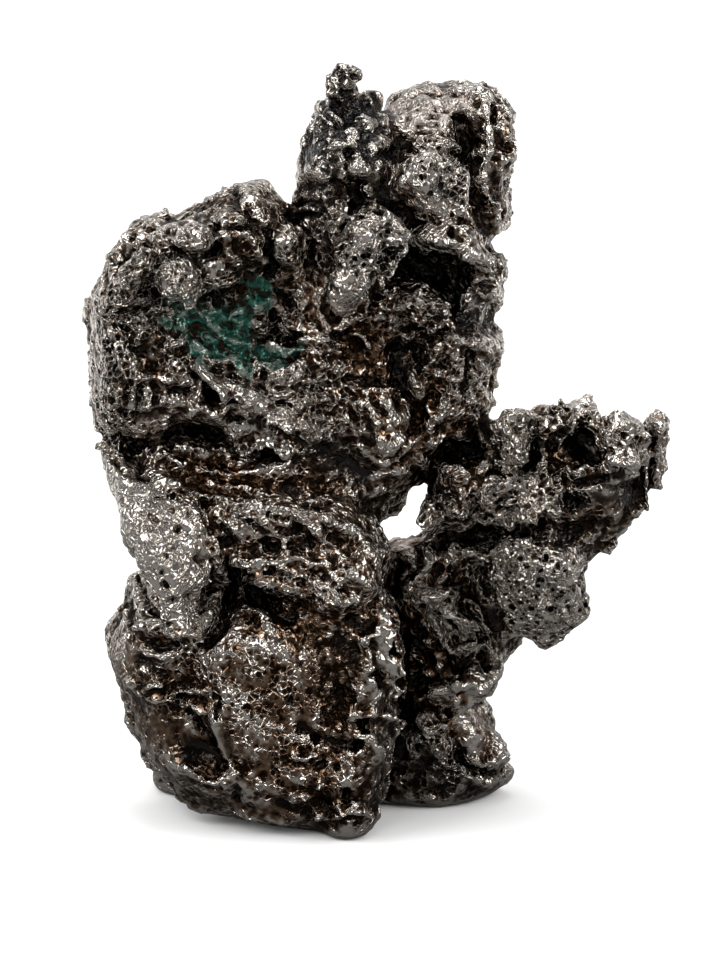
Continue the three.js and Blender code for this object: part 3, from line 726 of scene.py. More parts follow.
    # The arm's lumps, holes and underside.
    ARM: Strokes = strokes(LINE_POWER, """
        500,430 508,420 522,418 530,428: 4.5 7; 492,474 514,478 530,472: 5.5 -12
        490,416 490,440 494,462: 6 -10; 512,426 514,456: 10 6; 514,438 521,454 513,470: 5 7; 504,440: 3.5 -7
        500,456 506,468: 4 5; 514,428 520,432: 3 -5; 533,424 538,446 528,470: 5 -11
        552,466 558,484 548,508: 7 9; 544,498 560,514: 6 6; 540,446 546,456 544,468: 4 7
        540,412 544,424: 6 4; 556,420 560,436 552,450: 3 -6
        552,406 570,412 590,420 610,421 630,427 643,440 647,460 645,482 640,502 632,516: 3.2 9 1.5
        556,430 566,428 576,418: 3.5 6; 560,440 566,436: 3 5; 576,436 590,446 592,456: 12 -14
        604,440 612,432 626,434: 6 6; 606,458 618,466 634,464: 5 6; 621,445: 3.4 -7; 629,452: 3 -6
        612,452: 3 -5; 608,472 626,474 640,470: 4 -9; 652,424 664,422: 5 5; 656,432 656,448: 4 -7
        651,494: 5 -12; 654,462 652,480: 3.5 -9; 658,470 662,490 658,506: 4 5; 644,508 656,512: 3.5 4
        488,514 504,519 522,515 542,507: 3.2 9 1.5; 494,510 514,510: 2.6 -9 1.5
        490,494 508,488 526,484 540,476: 4 6; 500,500 520,498: 3 -5; 544,474 548,484: 4 6
        556,482 560,490: 4 5; 562,480 566,506: 3.4 -6; 568,498 574,502: 6 -11; 566,474 590,470: 4 5
        590,486 618,490: 7 4; 580,482 600,478 622,480: 3 -6; 430,520 450,517 470,516 488,512: 3.4 7 1.5
        450,506 464,508: 4 6; 458,474 466,478: 4 7; 438,490 446,498: 5 -6; 470,494 476,506: 4 -7
        424,512 422,520 432,528: 4 5; 436,506 444,514: 3.5 -5
        420,548 460,536 500,532 540,534 566,538: 8 -14; 560,528 580,530 610,524: 5 -5
        590,562 606,548 616,540: 2.6 5 1.5; 596,566 612,554: 2.6 -5 1.5
    """)
    # The pored lobe under the arm.
    LOBE: Strokes = strokes(LINE_POWER, """
        500,556 512,548 530,546: 4 6; 497,574 503,592 510,612 520,626: 4 5; 545,557: 4.4 -11
        540,580: 3.6 -8; 553,585: 3.4 -8; 525,567: 3.6 -7; 514,585: 3.2 -7; 553,612: 4.6 -10
        571,610: 4.4 -10; 560,598: 3.4 -8; 530,606: 3.2 -7; 524,590: 3 -6; 538,596: 3 -6; 512,568: 3 -6
        570,588: 3 -6; 565,572: 3 -6; 520,556: 3 -5; 536,618: 3 -6; 522,616: 2.8 -5; 542,570: 2.8 -5
        558,564: 2.8 -6; 577,600: 2.8 -5; 570,624: 3 -5; 560,606 566,618 574,622: 3.4 6; 543,637: 5 5
    """)
    # The folds in the corner and the right foot.
    CORNER: Strokes = strokes(LINE_POWER, """
        397,560 395,590 396,620 400,650: 6 -12; 406,574 405,600 404,624: 3 6 1.5
        424,562 417,588 414,616: 3.4 -12; 432,560 424,584 420,606: 4 11 1.5; 440,566 433,584: 3 -6
        448,560 444,584: 3 5 1.5; 384,554 404,556 412,564: 3 6 1.5; 414,568 424,566 432,556: 3.4 8 1.5
        454,547: 3.4 6; 470,552 486,556: 5 5; 484,574 492,590: 6 -9; 431,597 442,594 453,599: 4.8 13 1.6
        436,605 450,612 460,620 467,632: 4.8 14 1.6; 464,604 475,615 483,630 484,640 476,649: 4 13 1.5
        460,604 470,618 476,632: 3 -12; 432,618 440,628 446,641 454,650 466,650: 4.4 13 1.5
        440,612 450,622 458,634: 3 -12; 454,638 462,642: 3.4 -7; 448,588 460,592: 5 -8
        416,653 427,663 434,673: 2.6 7 1.5; 428,638 438,660 445,686: 2.6 7 1.5
        420,640 424,660 420,690: 6 -11; 434,650 440,670 444,684: 3 -5; 462,652 474,656 476,670: 8 5
        452,660 456,680: 4 -8; 484,650 486,668: 5 -6; 438,695 450,692 460,688 470,686: 3.4 9 1.5
        444,700 460,697: 2.6 -6; 494,654 499,668 490,680 478,690 470,700: 3 6 1.5
        454,702 462,712 469,704: 3.4 6; 446,706 450,716: 3.4 -7; 424,724 434,720 440,731: 4 7; 429,736: 6 8
        427,738: 2.6 -4; 441,750: 7 9; 437,746: 2.6 -5; 446,747: 2.6 -5; 453,766: 6 7; 452,763: 2.4 -4
        432,742 440,740: 3 -8; 416,730 420,748 430,762: 5 -9; 460,752 464,764 474,770: 4 -9
        474,764 484,768 496,764: 4 5; 474,780 490,786: 4 5; 484,774 494,776: 3 -5; 404,700 408,716: 6 -10
        400,740 404,760: 5 -5; 398,806 420,800 440,804: 4 4; 496,740 502,756: 9 8; 510,774: 7 -7
        470,702 484,700: 5 -5
    """)
    # Rubbed bright: partly wear, partly painted highlight on the forms that face the lamps.
    RUBBED_AND_HIGHLIT: Strokes = strokes(MASK_POWER, """
        140,500 170,546 188,590 186,622: 28 1.8; 150,495 186,516 210,562 204,620: 9 0.8
        100,440 120,470 140,490: 9 1; 422,176 444,160 450,190 440,210: 17 1.6
        342,232 385,232 356,258 346,284: 20 1.5; 345,300 350,312: 14 0.5; 390,106 430,104 455,112: 24 0.8
        352,138 340,152: 9 0.8; 312,178 324,178: 8 0.7; 350,172 368,172: 8 0.6
        484,120 486,160 482,200: 6 0.7; 466,256 484,262: 10 0.8; 413,303 440,309: 6 1
        202,368 218,382 250,392 268,410 300,420 320,432: 6 1.5 2; 232,432 258,435 290,447: 5 1.2 2
        382,614 386,650 394,690: 6 0.8; 296,438 330,432: 14 0.6; 366,446 380,462 404,440: 9 0.9 2
        430,518 480,514 540,508: 9 0.7 2; 484,492 510,484 540,482: 18 0.8; 508,420 516,440 508,466: 13 1.5
        606,426 630,440 630,466: 16 1.1; 508,562 540,604 580,590: 34 1.6; 496,654 498,670 472,698: 6 1.4
        405,570 430,565 450,560: 9 0.6; 382,614 388,650 396,690: 8 1.2; 434,600 448,620 466,642: 14 1.7
        470,610 480,634: 6 1.2; 430,556 420,580 415,600: 6 1.1; 438,696 456,692 472,687: 6 1.2
        430,380 450,400: 24 0.3; 425,735 440,750 455,770: 9 0.7 2; 188,242 204,240: 12 0.8 2
        172,280 188,281: 14 0.8 2; 134,282 146,266 156,258: 6 0.8 2; 284,238 300,242: 10 0.5 2
        270,382 300,368: 9 0.7 2; 236,506 326,518: 7 0.6 2; 232,562 326,564: 8 0.6 2
        180,764 228,780: 7 0.7 2; 95,330 92,380: 14 0.3 2; 330,590 382,606: 12 0.5 2
    """)
    # Brown.
    RUST: Strokes = strokes(MASK_POWER, """
        392,340 424,400 440,460: 40 1; 310,300 340,350 380,390: 40 0.8; 160,460 230,480: 24 0.5
        560,470 600,500: 24 0.3; 100,330 110,400: 20 0.25; 240,560 320,580: 40 0.9; 250,650 290,780: 64 0.6
        160,660 190,730: 26 0.3; 300,600 350,640: 30 0.5; 415,570 430,620 450,690: 40 1.1
        450,480 500,505: 26 0.6; 290,324: 9 1; 240,480 330,500: 30 0.5; 250,612 266,618: 10 0.8
        100,640 150,740: 30 0.3
    """)
    # Green, like copper.
    GREEN: Strokes = strokes(MASK_POWER, """
        166,322 184,334 192,322: 8 0.9; 196,316 214,326 232,318 250,308 264,296: 14 1.2
        206,334 222,346 240,338: 17 1.2; 196,346 202,358: 7 1; 240,354 246,374: 7 1
        254,352 280,352 300,350: 6 1; 262,364 284,362: 6 0.9; 172,302 190,310: 6 0.6; 250,280 266,288: 7 0.6
        412,372 420,398: 6 0.45; 120,650 146,700: 26 0.14
    """)
    # Slate black, and painted shade in the cave, the crevices, under the ledge and under the arm.
    SLATE_AND_PAINTED_SHADE: Strokes = strokes(MASK_POWER, """
        318,446 340,456 360,474: 17 0.75; 190,748 220,748: 13 0.6; 462,652 476,672: 12 0.7
        484,586 494,630: 9 0.7; 318,108 312,150 314,212: 20 1; 338,70 358,76: 11 0.7
        336,82 346,100 350,128: 12 0.7; 350,180 366,186: 12 0.5; 374,96 384,114: 10 0.8
        374,150 402,176: 16 0.45; 350,112 366,128: 12 0.8; 338,132 356,138 378,140: 22 0.8
        340,168 366,176: 20 0.5; 374,110 380,90: 13 1.1; 356,200 366,208: 8 0.7; 570,436 592,450: 13 0.8
        562,500 580,504: 9 0.6; 584,490 626,492: 14 0.7; 534,436 536,462: 7 0.9; 436,476 448,500: 9 0.5
        384,200 398,230: 12 0.9; 400,745 450,780: 18 0.7; 402,262 440,274 462,306: 30 0.9
        398,350 404,390: 10 0.8; 448,446 478,452: 14 0.7; 440,534 560,540: 8 0.6
    """)
    # Full of pores.
    PORES: Strokes = strokes(MASK_POWER, """
        112,310 112,420: 28 1; 150,500 176,540 190,590 190,626: 28 0.45; 424,160 450,190: 26 1
        184,240 208,237: 14 0.4; 168,274 192,278: 18 0.4; 284,240 298,264: 14 0.4; 504,494 540,484: 16 0.8
        345,232 385,240 350,270: 26 1; 512,424 512,466: 16 0.9; 560,412 590,424 630,440: 14 0.7
        508,566 550,612 606,600: 40 1; 160,640 250,700: 40 0.2; 430,736 456,766: 16 0.8
    """)
    # Wormy.
    WORMS: Strokes = strokes(MASK_POWER, """
        150,280 200,330 260,330 300,400: 50 0.9; 240,505 320,520: 22 0.6; 240,570 340,590: 24 0.7
        440,500 560,490: 24 1; 230,660 290,780: 50 0.15; 140,510 180,600: 24 0.5; 520,570 560,600: 34 0.6
        440,604 470,640: 26 0.8; 380,300 430,320: 24 0.8; 430,360 460,390: 26 0.8; 650,430 656,500: 14 0.8
        130,690 170,700: 20 0.5
    """)
    # Beaded.
    BEADS: Strokes = strokes(MASK_POWER, """
        312,130 324,220: 26 0.9; 350,160 400,140: 30 1; 390,110 450,110: 30 1.3; 340,640 350,750: 38 0.9
        490,120 490,220: 16 0.5; 340,300 350,330: 16 0.6; 440,690 466,720: 16 0.7; 220,640 280,780: 40 0.25
    """)
    # Nearly without grain.
    SMOOTH: Strokes = strokes(MASK_POWER, """
        190,748 220,748: 16 1; 88,290 86,420: 9 0.5; 470,716 488,744: 24 0.3; 580,404: 14 0.9
        200,344 240,332 258,302: 22 0.4; 266,356 300,352: 10 0.5; 374,92 382,116: 11 0.9
        384,546 430,536: 9 0.9; 466,656 474,672: 13 0.4; 486,586 494,630: 10 0.8; 590,486 630,486: 14 0.2
        568,436 592,452: 14 0.9; 130,660 160,730: 20 0.5; 130,500 164,548 186,600: 28 0.5
        384,620 390,650 398,690: 8 0.6; 380,148 412,180: 16 0.4; 384,200 396,230: 11 0.7
        320,450 356,470: 12 0.3
    """)
    # Without random lumps.
    CALM: Strokes = strokes(MASK_POWER, """
        326,130 330,150: 22 0.7; 350,180 410,150: 26 0.8; 392,110 455,108: 30 1; 108,310 112,420: 26 0.3
        230,280 240,250 254,208: 30 0.9; 230,650 276,790: 74 1; 330,660 340,760: 44 0.75
        126,650 170,760: 32 0.8; 190,480 290,480: 24 0.8; 580,490 636,490: 26 0.9; 472,716 490,744: 28 0.6
        140,500 166,546 188,600: 30 0.75; 396,240 456,242: 14 0.8; 400,430 430,400: 22 0.6
        390,318 430,325: 14 0.5; 470,110 500,200: 18 0.5; 160,390 150,400: 26 0.6
        206,390 250,402 310,420: 20 0.7; 640,420 656,460: 22 0.5; 440,570 480,580: 22 0.4
    """)
    # Silky.
    SATIN: Strokes = strokes(MASK_POWER, """
        400,112 430,100 456,106: 22 1; 416,128 438,130: 11 0.8; 474,712 490,740: 22 0.2
        650,430 660,452: 14 0.5; 96,310 94,400: 10 0.5
    """)
    # Painted shade round the lit forms and in gaps, partly duller metal.
    PAINTED_SHADE: Strokes = strokes(MASK_POWER, """
        250,640 280,800: 66 0.25; 340,650 350,800: 36 0.6; 388,190 402,214 420,232: 12 1
        464,146 466,204: 10 0.8; 328,240 332,276: 8 0.8; 392,262 380,292: 10 0.8
        398,560 398,620 402,690: 12 1; 416,620 422,650 428,700: 10 1.2; 446,566 462,590 486,612: 10 0.9
        444,672 474,668: 10 0.8; 540,428 554,474: 10 0.8; 130,650 180,780: 34 0.4; 400,300 450,330: 26 0.5
        360,350 400,380: 30 0.5; 240,210 246,250 244,290: 34 0.75; 310,590 360,610: 26 0.3
        318,110 316,215: 24 0.6; 346,70 354,78: 14 0.7; 374,110 380,90: 14 1; 342,96 352,126: 16 0.6
        496,100 502,190: 16 0.45; 350,196 366,210: 12 0.4; 392,160 404,150: 16 0.4; 468,130 470,200: 12 0.6
        380,150 360,190: 26 0.4; 570,495 640,500: 30 1; 440,482 462,512: 26 0.6; 470,440 484,470: 18 0.8
        545,420 552,450: 12 0.6; 590,540 620,530: 24 0.6; 110,390 114,410: 20 0.4; 490,200 500,220: 18 0.35
        300,450 330,460: 22 0.4; 400,780 470,790: 24 0.5
    """)
    # Streaks: a patch, then the streaks' angle in degrees and their pitch.
    STREAKS: tuple[Hatch, ...] = hatches("""
        226,262 244,236 258,212: 28 1.9; 38 4.2
        190,470 280,478: 24 1.8; -38 3.6
        130,394 175,394: 14 2; 90 4.5
        120,470 160,560 190,610: 24 1.1; 62 4.5
        240,560 330,580: 24 1.6; 30 4.5
        412,580 410,640: 16 2.2; 96 4.5
        390,640 396,696: 9 2; 70 4
        590,560 612,548: 12 1.8; -40 4
        450,130 470,190: 14 2; 84 5
        310,340 340,330: 18 1.6; -8 4.5
        430,410 450,400: 16 1.8; 76 4.5
        420,660 436,690: 12 2; 52 4
        386,386 350,384: 12 1.6; 2 4.5
        270,540 320,545: 18 1.4; 4 5
    """)

    @classmethod
    def front(cls, wide: bool) -> Strokes:
        """The relief's strokes of one kind.

        Args:
            wide: the broad ones, else the fine ones.

        Returns:
            The strokes.
        """
        left = (cls.SHOULDER_TOP, cls.RECESS, cls.FLANK, cls.LEDGE, cls.TONGUE)
        middle = (cls.MIDDLE, cls.CHEEK, cls.BELLY, cls.HEAD, cls.KNOBS, cls.CAVE)
        right = (cls.NECK, cls.ARM, cls.LOBE, cls.CORNER)
        groups = left + middle + right
        return tuple(mark for group in groups for mark in group if (mark.width >= cls.BROAD) is wide)


@dataclass(frozen=True)
class Grain:
    """The grain's bump, per metre or as shares of its height, and how height and paint turn into colour, with
    painted shade in the bump's pits and painted highlight on its crests.
    """

    height: float = 0.5 * MM
    bend_scale: float = 700.0
    bend_reach: float = 0.0008
    wrinkle_scale: float = 900.0
    wrinkle_roughness: float = 0.4
    wrinkle: float = 0.4
    ripple_scale: float = 2000.0
    ripple: float = 0.3
    worm_span: Span = (0.1, 0.0)
    worm_patches: Span = (0.4, 0.6)
    worm_least: float = 0.3
    worm: float = 0.5
    net_scale: float = 1450.0
    pit_span: Span = (0.08, 0.4)
    pit: float = 0.3
    wall_span: Span = (0.16, 0.0)
    wall_patches: Span = (0.32, 0.56)
    wall_least: float = 0.14
    wall_wormed: float = 0.3
    wall_pored: float = 0.62
    smooth_calm: float = 0.85
    green_calm: float = 0.85
    middle: float = 0.36
    level: float = 1.3
    fine: float = 0.65
    broad: float = 0.75
    wear_and_light_middle: float = 0.3
    wear_and_painted_light: float = 0.9
    low_span: Span = (0.1, 0.46)
    high_span: Span = (0.36, 0.72)
    stain_ragged: float = 1.6
    stain_span: Span = (0.4, 0.6)
    stain_edged: float = 0.75
    stain_soft: float = 0.2
    stain_depth: Span = (-0.15, 0.3)
    stain_covers: float = 0.75
    satin: float = 0.6
    slate_and_shade: float = 0.95
    crests_spared_shade: float = 0.75


@dataclass(frozen=True)
class Finish:
    """The metal's colours and shine, from its dark hollows to its bright crests, which are partly oxide and
    wear and partly painted shade and painted highlight.
    """

    hollow: Colour = (0.02, 0.0115, 0.0065)
    iron: Colour = (0.226, 0.162, 0.116)
    wear_and_painted_light: Colour = (0.68, 0.63, 0.575)
    rust: Colour = (0.24, 0.128, 0.066)
    green: Colour = (0.013, 0.115, 0.085)
    satin: Colour = (0.4, 0.34, 0.31)
    slate_and_shade: Colour = (0.036, 0.035, 0.034)
    rough: float = 0.16
    rough_satin: float = 0.08
    rough_wear_and_light: float = 0.09
    green_dulls: float = 0.25
    grain: Grain = Grain()


class Nodes:
    """Places shader nodes in a material one after another."""

    def __init__(self, tree: bpy.types.NodeTree) -> None:
        """Starts with an empty tree."""
        self.tree = tree
        tree.nodes.clear()

    def add(self, kind: str, inputs: Inputs | None = None, **settings: object) -> bpy.types.Node:
        """Adds a node.

        Args:
            kind: the node's type without its ShaderNode prefix.
            inputs: a value or another node's socket for each named or numbered input.
            **settings: the node's own properties.

        Returns:
            The node.
        """
        node = self.tree.nodes.new("ShaderNode" + kind)
        for name, value in settings.items():
            setattr(node, name, value)
        for name, value in (inputs or {}).items():
            if isinstance(value, bpy.types.NodeSocket):
                self.tree.links.new(value, node.inputs[name])
            else:
                node.inputs[name].default_value = value
        return node

    def maths(self, operation: str, *values: object) -> bpy.types.NodeSocket:
        """Works out one sum on numbers or sockets.

        Args:
            operation: the operation's name.
            *values: its one, two or three terms.

        Returns:
            The result's socket.
        """
        return self.add("Math", dict(enumerate(values)), operation=operation).outputs[0]

    def times(self, first: object, second: object) -> bpy.types.NodeSocket:
        """Multiplies two numbers or sockets."""
        return self.maths("MULTIPLY", first, second)

    def less(self, first: object, second: object) -> bpy.types.NodeSocket:
        """Takes the second number or socket from the first."""
        return self.maths("SUBTRACT", first, second)

    def times_plus(self, first: object, second: object, third: object) -> bpy.types.NodeSocket:
        """Multiplies the first two numbers or sockets and adds the third."""
        return self.maths("MULTIPLY_ADD", first, second, third)

    def between(self, value: object, low: float, high: float) -> bpy.types.NodeSocket:
        """Ramps a number smoothly from 0 at low to 1 at high.

        Args:
            value: the number's socket.
            low: where the result is 0.
            high: where the result is 1.

        Returns:
            The result's socket.
        """
        inputs = {"Value": value, "From Min": low, "From Max": high}
        return self.add("MapRange", inputs, interpolation_type="SMOOTHSTEP").outputs[0]

    def blend(self, share: object, first: object, second: object) -> bpy.types.NodeSocket:
        """Mixes two colours.

        Args:
            share: how much of the second.
            first: a colour or its socket.
            second: a colour or its socket.

        Returns:
            The mixed colour's socket.
        """
        wide = [(*c, 1.0) if isinstance(c, tuple) else c for c in (first, second)]
        node = self.add("Mix", {0: share, 6: wide[0], 7: wide[1]}, data_type="RGBA")
        return node.outputs[2]


def iron_material(finish: Finish) -> bpy.types.Material:
    """Makes the metal: dark in hollows, brown-grey on slopes, bright on crests, with pores and worms as bump;
    hollows and crests are partly oxide and polish, partly painted shade and painted highlight.

    Args:
        finish: its colours and shine.

    Returns:
        The material.
    """
    material = bpy.data.materials.new("meteorite_iron")
    material.use_nodes = True
    n = Nodes(material.node_tree)
    g = finish.grain
    place = n.add("TexCoord").outputs["Object"]
    shape = n.add("Attribute", attribute_name="shape").outputs["Color"]
    paint = n.add("Attribute", attribute_name="paint")
    kind = n.add("Attribute", attribute_name="kind")
    fine, broad, wear_and_painted_light = n.add("SeparateColor", {"Color": shape}).outputs[:3]
    rust, green, slate_and_shade_mask = n.add("SeparateColor", {"Color": paint.outputs["Color"]}).outputs[:3]
    satin = paint.outputs["Alpha"]
    pored, wormed, beaded = n.add("SeparateColor", {"Color": kind.outputs["Color"]}).outputs[:3]
    rugged = n.less(1.0, n.times(kind.outputs["Alpha"], g.smooth_calm))

    bent = n.add("TexNoise", {"Vector": place, "Scale": g.bend_scale, "Detail": 1.0})
    bend = n.add("VectorMath", {0: bent.outputs["Color"], 1: (g.bend_reach,) * 3}, operation="MULTIPLY")
    bent_place = n.add("VectorMath", {0: place, 1: bend.outputs[0]}, operation="ADD").outputs[0]
    inputs = {"Vector": bent_place, "Scale": g.wrinkle_scale, "Detail": 1.0, "Roughness": g.wrinkle_roughness}
    wrinkle = n.add("TexNoise", inputs).outputs[0]
    net = n.add("TexVoronoi", {"Vector": bent_place, "Scale": g.net_scale}, feature="DISTANCE_TO_EDGE")
    net = net.outputs["Distance"]
    ripple = n.add("TexNoise", {"Vector": place, "Scale": g.ripple_scale, "Detail": 0.0}).outputs[0]
    worm = n.maths("ABSOLUTE", n.less(wrinkle, 0.5))
    crestline = n.times(n.between(worm, *g.worm_span), n.between(bent.outputs[0], *g.worm_patches))
    pit = n.between(net, *g.pit_span)
    walls = n.less(n.between(net, *g.wall_span), pit)
    netted = n.times_plus(pored, g.wall_pored, n.times_plus(wormed, g.wall_wormed, g.wall_least))
    netted = n.times(netted, n.between(bent.outputs[0], *g.wall_patches))
    netted = n.times(netted, n.less(1.0, n.times(green, g.green_calm)))
    height = n.times_plus(wrinkle, g.wrinkle, n.times(ripple, g.ripple))
    height = n.times_plus(n.times(crestline, n.maths("ADD", wormed, g.worm_least)), g.worm, height)
    height = n.times_plus(n.times(pit, beaded), g.pit, height)
    height = n.times_plus(walls, netted, height)
    bump = n.add("Bump", {"Height": n.times(height, rugged), "Distance": g.height, "Strength": 1.0})

    # The bump's pits darken the colour and its crests lighten it: painted shade in the pits and painted
    # highlight on the crests.
    level = n.times(n.times(n.less(height, g.middle), rugged), g.level)
    # Mesh crests lighten the colour and its hollows and creases darken it: partly the iron's polish and
    # oxide, partly painted highlight and painted shade.
    lift = n.maths("ADD", n.times_plus(fine, g.fine, level), n.times(n.less(broad, 0.5), g.broad))
    lift = n.times_plus(n.less(wear_and_painted_light, g.wear_and_light_middle), g.wear_and_painted_light, lift)
    low = n.between(lift, *g.low_span)
    high = n.between(lift, *g.high_span)
    colour = n.blend(low, finish.hollow, finish.iron)
    colour = n.blend(n.times(rust, low), colour, finish.rust)
    edged = n.times_plus(n.less(wrinkle, 0.5), g.stain_ragged, green)
    edged = n.times_plus(n.between(edged, *g.stain_span), g.stain_edged, n.times(green, g.stain_soft))
    colour = n.blend(n.times(edged, n.between(lift, *g.stain_depth)), colour, finish.green)
    high = n.times(high, n.less(1.0, n.times(edged, g.stain_covers)))
    # Crests and rubbed patches take the bright colour: partly polished metal, partly painted highlight.
    colour = n.blend(high, colour, finish.wear_and_painted_light)
    colour = n.blend(n.times(satin, n.times(low, g.satin)), colour, finish.satin)
    # The slate colour covers slate-dark metal and painted shade in the cave, crevices, grooves and gaps;
    # crests are spared a little.
    slate_and_shade_mask = n.times(slate_and_shade_mask, n.less(g.slate_and_shade, n.times(high, g.crests_spared_shade)))
    colour = n.blend(slate_and_shade_mask, colour, finish.slate_and_shade)
    rough = n.times_plus(wear_and_painted_light, finish.rough_wear_and_light, n.times_plus(satin, finish.rough_satin, finish.rough))
    metal = n.less(1.0, n.times(green, finish.green_dulls))
    inputs = {"Base Color": colour, "Roughness": rough, "Metallic": metal, "Normal": bump.outputs[0]}
    n.add("OutputMaterial", {"Surface": n.add("BsdfPrincipled", inputs).outputs[0]})
    return material


@dataclass(frozen=True)
class Carving:
    """The broad relief in millimetres: drawn and random in front, wilder on the unseen back."""

    drawn: float = 0.135
    sway: Span = (3.0, 3.0)
    swells: Layer = Layer(Noise.cloud, 6.5, 21, 0.0, 0.3)
    ridges: Layer = Layer(Noise.veins, 7.5, 22, 0.35, 0.4)
    wild_ridges: Layer = Layer(Noise.veins, 6.0, 23, 0.3, 1.3)
    wild_swells: Layer = Layer(Noise.cloud, 5.0, 24, 0.0, 0.5)
    lump_bend: Layer = Layer(Noise.smooth, 4.0, 20, 0.0, 1.0)
    lumps: Layer = Layer(Noise.domes, 3.6, 19, 0.5, 1.0)
    wild_lumps: float = 0.9
    front_random: float = 0.4
    front_lumps: float = 0.3
    calm: float = 0.7
    back_wild: float = 0.7


@dataclass(frozen=True)
class Chasing:
    """The fine relief in millimetres: drawn lines and streaks, small lumps, creases and knots."""

    drawn: float = 0.1
    lines: float = 1.6
    sway: Span = (1.6, 1.6)
    breaks: Layer = Layer(Noise.cloud, 1.3, 18, 0.0, 0.7)
    breaks_middle: float = 0.8
    breaks_limits: Span = (0.25, 1.5)
    bend: tuple[float, int, float] = (2.4, 26, 0.7)
    lumps: Layer = Layer(Noise.domes, 2.0, 25, 0.55, 0.34)
    creases: Layer = Layer(Noise.veins, 3.4, 29, 0.0, 1.0)
    crease_span: Span = (0.72, 0.97)
    crease: float = 0.4
    knots: Layer = Layer(Noise.veins, 1.9, 30, 0.35, 0.2)
    calm: float = 0.85
    back: float = 1.25
    front_less: float = 0.6


@dataclass(frozen=True)
class Weathering:
    """The crumb in millimetres: worms, beads, and pores with a raised lip."""

    bend: tuple[float, int, float] = (1.5, 33, 0.35)
    crumb: Layer = Layer(Noise.cloud, 1.1, 31, 0.0, 0.1)
    net: Layer = Layer(Noise.veins, 1.5, 38, 0.0, 1.0)
    net_span: Span = (0.45, 0.95)
    net_height: float = 0.16
    fine_net: Layer = Layer(Noise.veins, 1.15, 32, 0.35, 0.16)
    worms: Span = (0.25, 0.9)
    beads: Layer = Layer(Noise.domes, 0.95, 36, 0.5, 1.0)
    bead_height: Span = (0.05, 0.15)
    pore_size: float = 1.0
    pore_seed: int = 37
    radius: float = 0.23
    radius_random: float = 0.16
    radius_pored: float = 0.05
    fewer: float = 0.5
    more_pored: float = 0.4
    chosen_span: Span = (0.0, 0.1)
    hole_span: Span = (1.15, 0.6)
    lip_radius: float = 1.35
    lip_width: float = 0.12
    lip: float = 0.08
    hole: float = 0.42
    pores: Span = (0.12, 0.88)
    smooth: float = 0.8
    calm: float = 0.75


@dataclass(frozen=True)
class Bulge:
    """How a crest's height becomes a share: the blur it is measured against, its full height, the gain."""

    times: int
    full: float
    gain: float

    def of(self, skin: Skin) -> np.ndarray:
        """(n,) shares, above 0 on crests and below 0 in hollows."""
        return skin.bulge(self.times) / self.full * self.gain


@dataclass(frozen=True)
class Painting:
    """What the metal reads at each point: crests and hollows and wear, which are partly polish and oxide and
    partly painted highlight and shade, and patches of colour, painted shade and grain.
    """

    sway: Span = (6.0, 2.2)
    middle: float = 0.5
    fine: Bulge = Bulge(4, 0.11 * MM, 0.5)
    broad: Bulge = Bulge(60, 0.8 * MM, 0.25)
    medium: Bulge = Bulge(16, 0.35 * MM, 0.3)
    wear_and_light_middle: float = 0.3
    wear_and_painted_light: float = 0.4
    groove_depth: float = 14.0
    groove_darkest: float = 0.65
    patch_size: float = 8.0
    patch_seed: int = 51
    patch_spans: tuple[Span, ...] = ((0.05, 0.4), (0.05, 0.4), (0.05, 0.4), (0.05 + 0.1, 0.4))


